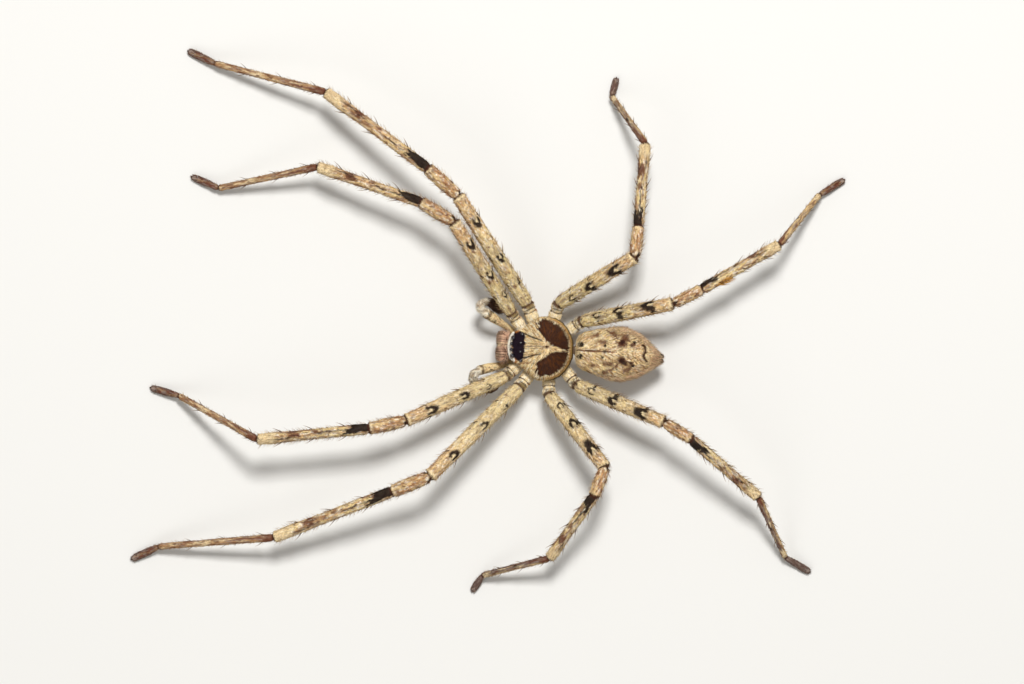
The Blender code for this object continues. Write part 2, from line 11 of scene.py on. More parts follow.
import bmesh
import bpy
import numpy as np
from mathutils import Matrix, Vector


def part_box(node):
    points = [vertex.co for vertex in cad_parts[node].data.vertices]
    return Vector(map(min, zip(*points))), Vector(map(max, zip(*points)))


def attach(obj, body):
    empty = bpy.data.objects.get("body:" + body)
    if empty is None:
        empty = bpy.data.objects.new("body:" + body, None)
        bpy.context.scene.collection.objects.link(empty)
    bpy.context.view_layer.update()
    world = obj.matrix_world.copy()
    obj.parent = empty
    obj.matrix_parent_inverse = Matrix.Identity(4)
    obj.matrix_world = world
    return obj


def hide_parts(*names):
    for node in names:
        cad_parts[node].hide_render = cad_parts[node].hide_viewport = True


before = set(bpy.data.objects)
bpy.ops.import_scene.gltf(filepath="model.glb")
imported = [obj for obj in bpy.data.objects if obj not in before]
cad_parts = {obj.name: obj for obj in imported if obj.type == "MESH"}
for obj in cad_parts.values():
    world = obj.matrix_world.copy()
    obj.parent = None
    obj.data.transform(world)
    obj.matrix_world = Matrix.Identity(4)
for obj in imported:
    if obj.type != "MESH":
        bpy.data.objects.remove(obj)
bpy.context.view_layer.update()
MM = 0.001

# %% [markdown]
# ## Camera
# The spider was photographed from straight above, with its head to the left. A long lens, far
# away, shows all legs at nearly one scale, as such a picture does. The photo's scale is the
# number of its pixels that cover one millimetre at the body's height. From that and from the
# pixel that the carapace's centre lies on, the camera's place follows.

# %% Set the camera over the body
BODY_X = 2.15  # the carapace's centre, from the middle of the spread legs
BODY_Y = 7.68
BODY_LEVEL = 6.0
PHOTO_WIDTH, PHOTO_HEIGHT = 1024, 684
BODY_PIXEL = (543.0, 348.5)
PIXELS_PER_MM = 7.0
YAW = math.radians(3.5)  # how far the body's axis is turned from the picture's long side
CAMERA_HEIGHT = 1500.0
SENSOR = 36.0

view_x = (PHOTO_WIDTH / 2 - BODY_PIXEL[0]) / PIXELS_PER_MM
view_y = (PHOTO_HEIGHT / 2 - BODY_PIXEL[1]) / PIXELS_PER_MM
camera_x = BODY_X + view_y * math.cos(YAW) - view_x * math.sin(YAW)
camera_y = BODY_Y + view_y * math.sin(YAW) + view_x * math.cos(YAW)
lens = bpy.data.cameras.new("camera")
lens.sensor_width = SENSOR
lens.lens = SENSOR * CAMERA_HEIGHT / (PHOTO_WIDTH / PIXELS_PER_MM)
lens.clip_end = 10.0
camera = bpy.data.objects.new("camera", lens)
camera.location = (camera_x * MM, camera_y * MM, (CAMERA_HEIGHT + BODY_LEVEL) * MM)
camera.rotation_euler = (0.0, 0.0, math.pi / 2 + YAW)
bpy.context.scene.collection.objects.link(camera)
bpy.context.scene.camera = camera
print("camera over", round(camera_x, 2), round(camera_y, 2), "lens", round(lens.lens))

# %% [markdown]
# ## Studio
# One soft box stands high to the spider's right, where the photo's light comes from, with a weak
# fill on the other side. The box is small enough to leave clear shadows under the legs, which
# show how high they stand. The world's even light fills the rest.

# %% Light the studio
KEY_FROM = (-0.46, 0.04, 1.0)
KEY_SIZE = 150.0
KEY_POWER = 4.7
FILL_FROM = (0.9, -0.5, 0.9)
FILL_SIZE = 400.0
FILL_POWER = 0.85
LAMP_DISTANCE = 700.0
WORLD_COLOUR = (1.0, 0.98, 0.95, 1.0)
WORLD_STRENGTH = 0.34


def soft_box(name, way, size, power):
    """A square lamp that shines on the body from the side that way points to."""
    lamp = bpy.data.lights.new(name, "AREA")
    lamp.shape = "SQUARE"
    lamp.size = size * MM
    lamp.energy = power
    light = bpy.data.objects.new(name, lamp)
    way = np.array(way) / np.linalg.norm(way)
    light.location = (way * LAMP_DISTANCE + (BODY_X, BODY_Y, 0.0)) * MM
    light.rotation_euler = Vector(way).to_track_quat("Z", "Y").to_euler()
    light.visible_camera = False
    bpy.context.scene.collection.objects.link(light)


soft_box("key", KEY_FROM, KEY_SIZE, KEY_POWER)
soft_box("fill", FILL_FROM, FILL_SIZE, FILL_POWER)
world = bpy.data.worlds.new("studio")
world.use_nodes = True
world.node_tree.nodes["Background"].inputs["Color"].default_value = WORLD_COLOUR
world.node_tree.nodes["Background"].inputs["Strength"].default_value = WORLD_STRENGTH
bpy.context.scene.world = world
bpy.context.scene.view_settings.view_transform = "Standard"
print("key lamp is", round(KEY_POWER / FILL_POWER, 1), "times the fill")

# %% [markdown]
# The floor is one flat, pale disc, so wide that its edge never shows. It belongs to the studio
# and not to the spider, so it is not hung on the body. A plain material is enough here, and serves the
# claws and eyes later.

# %% Lay the floor
FLOOR_RADIUS = 2000.0
FLOOR_COLOUR = (0.74, 0.73, 0.70, 1.0)
FLOOR_ROUGHNESS = 0.9


def plain_material(name, colour, roughness, coat=0.0):
    material = bpy.data.materials.new(name)
    material.use_nodes = True
    shader = material.node_tree.nodes["Principled BSDF"]
    shader.inputs["Base Color"].default_value = colour
    shader.inputs["Roughness"].default_value = roughness
    shader.inputs["Coat Weight"].default_value = coat
    return material


bm = bmesh.new()
bmesh.ops.create_circle(bm, cap_ends=True, segments=64, radius=FLOOR_RADIUS * MM)
floor_mesh = bpy.data.meshes.new("floor")
bm.to_mesh(floor_mesh)
bm.free()
floor_mesh.materials.append(plain_material("floor", FLOOR_COLOUR, FLOOR_ROUGHNESS))
floor = bpy.data.objects.new("floor", floor_mesh)
bpy.context.scene.collection.objects.link(floor)
print("floor", 2 * FLOOR_RADIUS / 1000, "m across")

# %% [markdown]
# ## Colours
# The coat is cream, warmer and pinker toward the far end of each segment, with black-brown
# marks. The values are named once here. Each surface mixes them by its own rules, and the
# hairs take the colour of the skin that they grow from.

# %% Name the colours
CREAM = (0.75, 0.575, 0.275)
PALE = (0.88, 0.71, 0.42)
WHITE = (0.95, 0.91, 0.80)
PINK_TAN = (0.55, 0.29, 0.13)
PINK = (0.66, 0.40, 0.25)
ORANGE = (0.42, 0.15, 0.03)
RIM_GOLD = (0.60, 0.36, 0.10)
AMBER = (0.58, 0.29, 0.05)
OLIVE = (0.24, 0.16, 0.06)
SAGE = (0.62, 0.53, 0.27)
RED_BROWN = (0.15, 0.050, 0.026)
PATCH_BROWN = (0.050, 0.010, 0.003)
BLACK_BROWN = (0.013, 0.005, 0.004)
EYE_PATCH = (0.014, 0.006, 0.012)
MEMBRANE = (0.13, 0.070, 0.045)
GREY = (0.30, 0.23, 0.19)
DUSK = (0.14, 0.095, 0.080)
UNDERSIDE = (0.34, 0.21, 0.10)

# %% [markdown]
# A marking is a layer: a colour, and how strongly it covers each point. Layers are laid over one
# another in order, as glazes of paint are. The share often comes from a ramp, which turns a
# distance into a soft edge.

# %% Lay colours in layers
def evenly(colour, count):
    return np.tile(np.array(colour), (count, 1))


def paint(coat, colour, share):
    """A coat of colours with one more laid over it, as strongly as share says."""
    share = np.clip(share, 0.0, 1.0)[:, None]
    return coat * (1 - share) + np.array(colour) * share


def lay(coat, *layers):
    for colour, share in layers:
        coat = paint(coat, colour, share)
    return coat


def ramp(value, start, end):
    """0 before start, 1 past end, and a smooth change between."""
    share = np.clip((value - start) / (end - start), 0.0, 1.0)
    return share * share * (3 - 2 * share)


print("a ramp from 0 to 2 gives", [float(ramp(value, 0, 2)) for value in (0, 0.5, 1, 2)])

# %% [markdown]
# Real markings are edges of hair, so every edge is pulled about by noise. A noise texture could
# do it in the material, but the hairs need the same colours as the skin, so the noise is worked
# out here, at any point that is asked for. Each cell of a grid gets a number from its own three
# whole numbers, stirred with large primes, and a point blends the numbers of the corners round it.

# %% Make noise at any point
CELL_PRIMES = np.array([73856093, 19349663, 83492791])
SEED_PRIME = 7919
STIR_PRIME = 1274126177
FLECK_DETAIL = 2.3  # how much finer the second noise of a fleck is


def noise(places, seed=0):
    """A smooth random value from 0 to 1 at each place, changing over about one unit."""
    cell = np.floor(places).astype(np.int64)
    part = places - cell
    part = part * part * (3 - 2 * part)
    total = np.zeros(len(places))
    for corner in np.ndindex(2, 2, 2):
        key = (cell + corner) @ CELL_PRIMES + seed * SEED_PRIME
        key = (key ^ (key >> 13)) * STIR_PRIME
        value = ((key ^ (key >> 16)) & 0xFFFF) / 0xFFFF
        total += value * np.prod(np.where(corner, part, 1 - part), axis=1)
    return total


def fleck(places, scale, seed, amount):
    """Scattered flecks: 1 inside, over about that share of the surface."""
    rough = noise(places * scale, seed) * 0.6 + noise(places * scale * FLECK_DETAIL, seed + 1) * 0.4
    return ramp(rough, 0.74 - amount * 0.6, 0.84 - amount * 0.6)


print("noise along a line", noise(np.linspace((0, 0, 0), (2, 0, 0), 5)).round(2))

# %% [markdown]
# ## Skins from rolled grids
# Every form of this animal is a tube that swells and narrows: the body, a leg, a palp, even a
# fang. So each skin starts as one flat grid. A shape function says where the point at u, the
# share of the way round, and v, the share of the way along, belongs. The grid is rolled up by
# it, and its seam and both ends are merged shut. The flat grid's own map stays on the skin, so
# the hairs and the baked colours have an even unwrap to use.

# %% Roll a grid into a closed skin
BAKE_MAP = "OFBake"
MERGE = 1e-7


def show(name, mesh):
    mesh.shade_smooth()
    made = bpy.data.objects.new(name, mesh)
    bpy.context.scene.collection.objects.link(made)
    return made


def as_object(name, bm):
    mesh = bpy.data.meshes.new(name)
    bm.to_mesh(mesh)
    bm.free()
    return show(name, mesh)


def roll(name, shape, rows, columns):
    """A closed skin whose points lie where shape(u, v) says, in millimetres."""
    bm = bmesh.new()
    bm.loops.layers.uv.new(BAKE_MAP)
    bmesh.ops.create_grid(bm, x_segments=columns, y_segments=rows, size=0.5, calc_uvs=True)
    flat = np.array([vertex.co[:2] for vertex in bm.verts]) + 0.5
    for vertex, place in zip(bm.verts, shape(flat[:, 0], flat[:, 1]) * MM):
        vertex.co = place
    bmesh.ops.remove_doubles(bm, verts=bm.verts, dist=MERGE)
    bmesh.ops.recalc_face_normals(bm, faces=bm.faces)
    return as_object(name, bm)


# %% [markdown]
# The colours are worked out point by point and kept on the mesh as an attribute. For that the
# painter needs each point's place, and its u and v, which are read back from the map.

# %% Read a skin's points and colour them
def places_of(skin):
    """Each vertex's u, v and place in millimetres."""
    mesh = skin.data
    corner_uv = np.empty(len(mesh.loops) * 2)
    mesh.uv_layers[BAKE_MAP].uv.foreach_get("vector", corner_uv)
    corner_vertex = np.empty(len(mesh.loops), int)
    mesh.loops.foreach_get("vertex_index", corner_vertex)
    uv = np.empty((len(mesh.vertices), 2))
    uv[corner_vertex] = corner_uv.reshape(-1, 2)
    places = np.empty(len(mesh.vertices) * 3)
    mesh.vertices.foreach_get("co", places)
    return uv[:, 0], uv[:, 1], places.reshape(-1, 3) / MM


def colour_mesh(mesh, colours):
    layer = mesh.color_attributes.new("paint", "FLOAT_COLOR", "POINT")
    layer.data.foreach_set("color", np.c_[colours, np.ones(len(colours))].ravel())


# %% [markdown]
# A few small tools serve every outline. Averaging softens the corners of a line or table, as a
# file softens a carving. A sine made squarer gives a boxier cross-section, and a round ending
# closes a tube like a fingertip.

# %% Soften, square and round off
def unit(vectors):
    return vectors / np.maximum(np.linalg.norm(vectors, axis=-1, keepdims=True), 1e-9)


def soften(values, rounds):
    """Averages each value with its neighbours. Both ends stay."""
    values = np.array(values, float)
    for _ in range(rounds):
        values[1:-1] = values[1:-1] / 2 + (values[:-2] + values[2:]) / 4
    return values


def refine(table, known, wanted):
    """Reads a table, whose rows stand at the known places, at the wanted ones."""
    return np.stack([np.interp(wanted, known, column) for column in table.T], axis=1)


def squared(wave, squareness):
    """A sine or cosine with flatter crests: 2 leaves it round, and more makes it boxy."""
    return np.sign(wave) * np.abs(wave) ** (2 / squareness)


def round_end(gone):
    """The width left of a round end, from 1 where it starts, at 0, to none at its tip, at 1."""
    return np.sqrt(1 - np.clip(gone, 0, 1) ** 2)


print("a round end narrows as", round_end(np.linspace(0, 1, 5)).round(2))

# %% [markdown]
# A spider's limb is easiest to give as a line of ring centres with a half width at each. The
# rings' up side stays level with the sky, so a mark on top of a segment is easy to place.

# %% Shape a limb from its centre line
UP = np.array([0.0, 0.0, 1.0])
FLOOR_GAP = 0.03  # feet and hairs that reach the floor are pressed flat on it


def limb(centres, half_widths, sign=1, squareness=2.0, flatness=1.0):
    """The shape of a tube round a line. u is 0.5 on top and past it on the side toward the head."""
    way = unit(soften(np.gradient(centres, axis=0), 1))
    side = unit(np.cross(way, UP))
    up = np.cross(side, way)
    # A row for each ring: its centre, its three axes and its half width
    table = np.c_[centres, side * sign, up, way, half_widths]

    def shape(u, v, frame_too=False):
        at = np.clip(v, 0, 1) * (len(table) - 1)
        low = np.minimum(at.astype(int), len(table) - 2)
        row = table[low] + (table[low + 1] - table[low]) * (at - low)[:, None]
        turn = 2 * np.pi * (u - 0.5)
        across = squared(np.sin(turn), squareness)
        high = squared(np.cos(turn), squareness)
        outward = row[:, 3:6] * across[:, None] + row[:, 6:9] * high[:, None] * flatness
        place = row[:, 0:3] + outward * row[:, 12:13]
        place[:, 2] = np.maximum(place[:, 2], FLOOR_GAP)
        return (place, unit(outward), unit(row[:, 9:12])) if frame_too else place

    return shape


def through(points, spacing=0.12, rounds=6):
    """A dense, softened line through a few stations. Each row is a place and a half width."""
    points = np.array(points, float)
    steps = np.linalg.norm(np.diff(points[:, :3], axis=0), axis=1)
    reach = np.concatenate([[0.0], np.cumsum(steps)])
    dense = np.linspace(0.0, reach[-1], max(int(reach[-1] / spacing), 12))
    table = soften(refine(points, reach, dense), rounds)
    near_end = round_end(1 - dense / table[0, 3])
    far_end = round_end(1 - (reach[-1] - dense) / table[-1, 3])
    table[:, 3] *= near_end * far_end
    return table[:, :3], table[:, 3]


# %% [markdown]
# ## Hair, spines and tufts
# A hair of this size is a thin cone that leaves the skin at one angle and bends toward the lie
# of the coat. Thousands of them are needed. Particle hair would be quicker to comb, but it
# doesn't survive an export, so the hairs are meshes. First their roots are sown: a cell of the
# skin is drawn as often as its area asks for, and the root lies anywhere in it.

# %% Sow roots evenly over a skin
def sow(shape, count, seed, wanted=None, rows=160, columns=48):
    """Random places on a skin, as many in each area as wanted(u, v, place) says."""
    draw = np.random.default_rng(seed)
    v, u = np.meshgrid(np.linspace(0, 1, rows + 1), np.linspace(0, 1, columns + 1), indexing="ij")
    net = shape(u.ravel(), v.ravel()).reshape(rows + 1, columns + 1, 3)
    along = (net[1:, :-1] - net[:-1, :-1] + net[1:, 1:] - net[:-1, 1:]).reshape(-1, 3) / 2
    around = (net[:-1, 1:] - net[:-1, :-1] + net[1:, 1:] - net[1:, :-1]).reshape(-1, 3) / 2
    corner = net[:-1, :-1].reshape(-1, 3)
    middle = np.repeat(net[:-1, :-1].mean(axis=1), columns, axis=0)
    normal = np.cross(around, along)
    weight = np.linalg.norm(normal, axis=1)
    outward = np.sign(((corner - middle) * normal).sum(axis=1).sum())
    u0, v0 = u[:-1, :-1].ravel(), v[:-1, :-1].ravel()
    if wanted:
        weight = weight * wanted(u0, v0, corner)
    cell = draw.choice(len(weight), count, p=weight / weight.sum())
    right, on = draw.random(count), draw.random(count)
    place = corner[cell] + around[cell] * right[:, None] + along[cell] * on[:, None]
    return SimpleNamespace(
        u=u0[cell] + right / columns,
        v=v0[cell] + on / rows,
        place=place,
        normal=unit(normal[cell]) * outward,
        along=unit(along[cell]),
        draw=draw,
        count=count,
    )


# %% [markdown]
# An operator for each of 150,000 hairs would be far too slow. So one hair's few faces are worked
# out, and repeated over all the hairs straight in the mesh's own arrays.

# %% Repeat one hair's faces over all the hairs
def hair_mesh(name, count, points, uvs, tints, faces):
    """points, uvs and tints hold an array for each point of a hair, with a row for each hair."""
    each = len(points)
    corners = np.concatenate([np.array(face) for face in faces])
    corners = (corners[None, :] + np.arange(count)[:, None] * each).ravel()
    sizes = np.tile([len(face) for face in faces], count)
    mesh = bpy.data.meshes.new(name)
    mesh.vertices.add(count * each)
    mesh.vertices.foreach_set("co", (np.stack(points, axis=1) * MM).ravel())
    mesh.loops.add(len(corners))
    mesh.loops.foreach_set("vertex_index", corners)
    mesh.polygons.add(len(sizes))
    mesh.polygons.foreach_set("loop_start", np.concatenate([[0], np.cumsum(sizes)[:-1]]))
    mesh.update(calc_edges=True)
    layer = mesh.uv_layers.new(name=BAKE_MAP)
    layer.uv.foreach_set("vector", np.stack(uvs, axis=1).reshape(-1, 2)[corners].ravel())
    colour_mesh(mesh, np.stack(tints, axis=1).reshape(-1, 3))
    return show(name, mesh)


# %% [markdown]
# Each hair is a stack of small rings that ends in a point, with its root sunk in the skin. Its
# own numbers say how long and wide it is and how it bends. The few large spines and the claws
# are made by the same helper, with more rings and sides.

# %% Grow a hair or spine at each root
PATCH = 0.003  # a hair's own patch of the baked map
CAP_SHIFT = 0.35  # the root's flat cap gets some room in that patch too
TAPER = 0.8


def grow(name, roots, lie, lifts, length, width, colours, sides=3, rings=2, sink=0.15, tip=0.0):
    """One mesh of bent cones. lifts are the angles off the skin at the root and at the tip."""
    lie = unit(lie - roots.normal * (lie * roots.normal).sum(axis=1)[:, None])
    start, end = [np.radians(np.broadcast_to(lift, roots.count))[:, None] for lift in lifts]
    leaving = lie * np.cos(start) + roots.normal * np.sin(start)
    arriving = lie * np.cos(end) + roots.normal * np.sin(end)
    length = np.broadcast_to(length, roots.count)[:, None]
    width = np.broadcast_to(width, roots.count)[:, None]
    root = roots.place - leaving * length * sink
    points, uvs, tints = [], [], []
    for ring in range(rings + 1):
        share = ring / rings
        centre = root + length * (leaving * share + (arriving - leaving) * share**2 / 2)
        centre[:, 2] = np.maximum(centre[:, 2], FLOOR_GAP * 2)
        heading = unit(leaving + (arriving - leaving) * share)
        side = unit(np.cross(heading, roots.normal))
        over = np.cross(side, heading)
        half = width / 2 * ((1 - share) ** TAPER * (1 - tip) + tip)
        for step in range(sides if ring < rings else 1):
            angle = 2 * np.pi * step / sides
            rim = side * np.cos(angle) + over * np.sin(angle)
            points.append(centre + rim * half if ring < rings else centre)
            low = CAP_SHIFT if ring == 0 and 0 < step < sides - 1 else 0.0
            spot = (step / (sides - 1) - 0.5 if ring < rings else 0.0, share - 0.5 - low)
            uvs.append(np.c_[roots.u, roots.v] + np.array(spot) * PATCH)
            tints.append(colours(share) if callable(colours) else colours)
    faces = [tuple(reversed(range(sides)))]
    for ring in range(rings):
        for step in range(sides):
            a, b = ring * sides + step, ring * sides + (step + 1) % sides
            top = rings * sides
            faces.append((a, b, top) if ring == rings - 1 else (a, b, b + sides, a + sides))
    return hair_mesh(name, roots.count, points, uvs, tints, faces)


# %% [markdown]
# ## Finishes
# Skin and coat read the colour that each point carries, and a fine noise varies it a little.
# The skin adds bump: a grain stretched along the lie of the coat, which stands for the hairs
# too short to model. It reads a map of its own, so that the baked map stays free. Hair is a
# little glossier than skin, as real bristles are.

# %% Make the coat's material
GRAIN_SCALE = 6500.0  # per metre: cells about 0.15 mm across
SPECULAR = 0.14
LIE_MAP = "lie"
LIE_SCALE = (110.0, 130.0, 1.0)  # grain cells round and along a skin's own map
BUMP_DEPTH = 0.00004


def add_streaks(nodes, links, shader, strength):
    """Bump that runs with the coat, read from the skin's lie map."""
    lie = nodes.new("ShaderNodeUVMap")
    lie.uv_map = LIE_MAP
    stretch = nodes.new("ShaderNodeMapping")
    stretch.inputs["Scale"].default_value = LIE_SCALE
    links.new(lie.outputs["UV"], stretch.inputs["Vector"])
    streaks = nodes.new("ShaderNodeTexNoise")
    streaks.inputs["Scale"].default_value = 1.0
    streaks.inputs["Detail"].default_value = 4.0
    links.new(stretch.outputs["Vector"], streaks.inputs["Vector"])
    relief = nodes.new("ShaderNodeBump")
    relief.inputs["Strength"].default_value = strength
    relief.inputs["Distance"].default_value = BUMP_DEPTH
    links.new(streaks.outputs["Fac"], relief.inputs["Height"])
    links.new(relief.outputs["Normal"], shader.inputs["Normal"])


def coat_material(name, roughness, variation=0.22, bump=0.0):
    material = bpy.data.materials.new(name)
    material.use_nodes = True
    nodes, links = material.node_tree.nodes, material.node_tree.links
    shader = nodes["Principled BSDF"]
    shader.inputs["Roughness"].default_value = roughness
    shader.inputs["Specular IOR Level"].default_value = SPECULAR
    colour = nodes.new("ShaderNodeAttribute")
    colour.attribute_name = "paint"
    where = nodes.new("ShaderNodeTexCoord")
    grain = nodes.new("ShaderNodeTexNoise")
    grain.inputs["Scale"].default_value = GRAIN_SCALE
    grain.inputs["Detail"].default_value = 3.0
    links.new(where.outputs["Object"], grain.inputs["Vector"])
    shade = nodes.new("ShaderNodeMapRange")
    shade.inputs["From Min"].default_value = 0.3
    shade.inputs["From Max"].default_value = 0.7
    shade.inputs["To Min"].default_value = 1.0 - variation
    shade.inputs["To Max"].default_value = 1.0 + variation
    links.new(grain.outputs["Fac"], shade.inputs["Value"])
    varied = nodes.new("ShaderNodeVectorMath")
    varied.operation = "SCALE"
    links.new(colour.outputs["Color"], varied.inputs[0])
    links.new(shade.outputs["Result"], varied.inputs["Scale"])
    links.new(varied.outputs["Vector"], shader.inputs["Base Color"])
    if bump:
        add_streaks(nodes, links, shader, bump)
    return material


# %% [markdown]
# The claws and fangs are black horn, with a clear polish over it, and an eye is a wet, dark
# bead. Both are plain colours under a coat. Every piece is then finished in one way: it gets
# its material, rides on the body, and hides the solids that it stands for.

# %% Make the finishes
HORN_COLOUR = (0.022, 0.010, 0.008, 1.0)
EYE_COLOUR = (0.010, 0.008, 0.014, 1.0)
skin_finish = coat_material("skin", roughness=0.65, bump=0.8)
hair_finish = coat_material("hair", roughness=0.55)
spine_finish = coat_material("spine", roughness=0.22, variation=0.1)
horn_finish = plain_material("horn", HORN_COLOUR, roughness=0.18, coat=0.6)
eye_finish = plain_material("eye", EYE_COLOUR, roughness=0.06, coat=1.0)


def finish(piece, material, slot, *nodes):
    """Gives a piece its finish, hangs it on the body and hides the solids that it stands for."""
    piece.data.materials.append(material)
    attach(piece, "root")
    if nodes:
        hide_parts(*nodes)
    return piece


def skin_piece(name, shape, rows, columns, painter, slot, *nodes):
    """Rolls, colours and finishes a skin."""
    skin = roll(name, shape, rows, columns)
    skin.data.uv_layers.new(name=LIE_MAP)
    colour_mesh(skin.data, painter(*places_of(skin)))
    return finish(skin, skin_finish, slot, *nodes)


def hair_piece(name, slot, roots, lie, lifts, length, width, colours, **form):
    """Grows hair on the roots, finishes it and says how many hairs it has."""
    hair = grow(name, roots, lie, lifts, length, width, colours, **form)
    finish(hair, hair_finish, slot)
    return roots.count


print("finishes", [material.name for material in bpy.data.materials])

# %% [markdown]
# ## Legs: where they lie
# The joints repeat the solids' own: a hip, a length and a heading for each segment, and the
# level of each joint. Legs I and II reach forward, III out, and IV back.

# %% Place the joints
LENGTHS = {  # coxa to hip comes from the two points, then femur, patella, tibia, metatarsus, tarsus
    1: (16.05, 5.45, 16.00, 15.20, 4.45),
    2: (18.70, 5.85, 18.60, 17.15, 4.55),
    3: (13.70, 4.50, 11.90, 10.80, 2.95),
    4: (14.10, 4.60, 12.95, 11.10, 4.40),
}
WIDTHS = {
    1: (2.10, 1.85, 1.60, 1.05, 0.95),
    2: (2.25, 1.95, 1.70, 1.10, 1.00),
    3: (2.15, 1.70, 1.55, 0.98, 0.86),
    4: (2.10, 1.65, 1.60, 0.98, 0.90),
}
COXA_ROOTS = {1: (1.85, -2.60), 2: (2.50, -0.85), 3: (2.50, 0.90), 4: (1.90, 2.55)}
COXA_SHARE = 0.74
COXA_LEVEL, TROCHANTER_LEVEL = 3.95, 4.1
HIP_LEVEL = {1: 4.85, 2: 5.0, 3: 5.0, 4: 4.9}
ANKLE_LEVEL, TOE_LEVEL = 1.3, 0.34
LEGS = {  # hip, headings of the five segments, levels of the first three joints, roll
    "R1": ((4.79, -4.83), (54.1, 27.4, 15.7, -15.4, 19.6), (9.6, 8.8, 5.8), -8),
    "L1": ((4.28, -5.08), (27.4, 15.8, 9.1, -25.1, -12.4), (8.6, 9.6, 9.3), 8),
    "R2": ((6.23, -2.67), (53.8, 38.3, 33.5, 11.3, 22.1), (8.8, 9.7, 6.1), -4),
    "L2": ((5.81, -3.09), (48.2, 25.7, 24.8, 8.2, 28.7), (10.3, 9.2, 5.5), -4),
    "R3": ((6.51, 1.83), (144.8, 93.3, 91.3, 51.9, 101.0), (10.0, 9.0, 8.2), 0),
    "L3": ((6.58, 1.29), (131.1, 71.9, 58.3, 18.3, 60.4), (9.2, 10.3, 5.6), 0),
    "R4": ((4.22, 5.30), (165.6, 149.9, 146.6, 125.9, 145.3), (9.7, 8.6, 7.3), 42),
    "L4": ((4.95, 5.13), (160.5, 151.6, 142.7, 118.1, 152.8), (8.7, 9.6, 6.9), 16),
}


def on_body(out, back, level, sign=1):
    return np.array([BODY_X + sign * out, BODY_Y + back, level])


def joints_of(leg):
    """Trunk, trochanter, hip, knee, shin, heel, ankle and toe."""
    sign, pair = (1 if leg[0] == "L" else -1), int(leg[1])
    hip_place, headings, levels, _ = LEGS[leg]
    root = on_body(*COXA_ROOTS[pair], COXA_LEVEL, sign)
    hip = on_body(*hip_place, HIP_LEVEL[pair], sign)
    neck = root + (hip - root) * COXA_SHARE
    neck[2] = TROCHANTER_LEVEL
    joints = [root, neck, hip]
    for length, heading, level in zip(LENGTHS[pair], headings, (*levels, ANKLE_LEVEL, TOE_LEVEL)):
        reach = math.sqrt(length**2 - (level - joints[-1][2]) ** 2)
        turn = math.radians(heading)
        step = np.array([sign * math.sin(turn) * reach, -math.cos(turn) * reach, 0.0])
        joints.append(joints[-1] * (1, 1, 0) + step + (0, 0, level))
    return joints


# %% [markdown]
# ## Legs: their outline
# Each segment has its own profile: a femur is broad and flat-sided, a tibia swells before the
# heel, a tarsus is a small club. The whole leg is one skin, because in life no gap shows between
# the segments either. At a joint the hard shell stops at a rim, and a soft, narrow membrane
# bridges the gap.

# %% Shape the segments
COAT_DEPTH = 0.07  # the skin lies this far inside the solids, under the hair
RING_STEP = 0.17
SEGMENTS = ("coxa", "trochanter", "femur", "patella", "tibia", "metatarsus", "tarsus")
OUTLINES = {  # share of the length, share of the width
    "coxa": ((0.0, 0.66), (0.3, 0.78), (0.65, 0.88), (1.0, 0.84)),
    "trochanter": ((0.0, 0.80), (0.5, 0.90), (1.0, 0.84)),
    "femur": ((0.0, 0.86), (0.08, 0.95), (0.22, 1.0), (0.5, 1.0), (0.78, 0.93), (1.0, 0.88)),
    "patella": ((0.0, 0.86), (0.18, 0.97), (0.5, 1.05), (0.84, 0.98), (1.0, 0.94)),
    "tibia": ((0.0, 0.97), (0.1, 1.0), (0.4, 0.96), (0.65, 0.94), (0.86, 1.06), (1.0, 0.96)),
    "metatarsus": ((0.0, 0.98), (0.07, 1.08), (0.25, 1.0), (0.6, 0.92), (1.0, 0.90)),
    "tarsus": ((0.0, 0.88), (0.15, 0.98), (0.4, 1.04), (0.65, 1.06), (0.85, 0.98), (1.0, 0.66)),
}
BOWS = {"femur": 0.035, "patella": 0.035, "tibia": 0.012, "metatarsus": 0.012}
LEG_SQUARENESS = 2.25


def segment_rings(leg):
    """The leg's ring centres and half widths, each ring's segment and share of it, and lengths."""
    joints = joints_of(leg)
    coxa, *others = WIDTHS[int(leg[1])]
    widths = dict(zip(SEGMENTS, (coxa, coxa, coxa, *others)))
    centres, halves, segments, shares, lengths = [], [], [], [], []
    for index, name in enumerate(SEGMENTS):
        near, far = joints[index], joints[index + 1]
        length = np.linalg.norm(far - near)
        share = np.arange(0, 1, RING_STEP / length)
        centre = near + (far - near) * share[:, None]
        centre[:, 2] += BOWS.get(name, 0.0) * length * np.sin(np.pi * share)
        if name == "tarsus":
            centre[:, 2] = TOE_LEVEL + (ANKLE_LEVEL - TOE_LEVEL) * (1 - share) ** 2
        centres.append(centre)
        halves.append(np.interp(share, *np.array(OUTLINES[name]).T) * widths[name] / 2)
        segments.append(np.full(len(share), index))
        shares.append(share)
        lengths.append(np.full(len(share), length))
    return map(np.concatenate, (centres, halves, segments, shares, lengths))


# %% [markdown]
# The joints are cut into the finished profile: a narrow dip for each membrane and a slight swell
# for the shell's rim before it, both bell curves along the leg.

# %% Cut the joints
# After each segment: how deep the membrane's neck cuts in, and how far the shell's rim flares
JOINTS = ((0.16, 0.03), (0.24, 0.05), (0.32, 0.05), (0.17, 0.03), (0.30, 0.05), (0.20, 0.04))
NECK_WIDTH, RIM_WIDTH, RIM_PLACE = 0.16, 0.20, 0.48


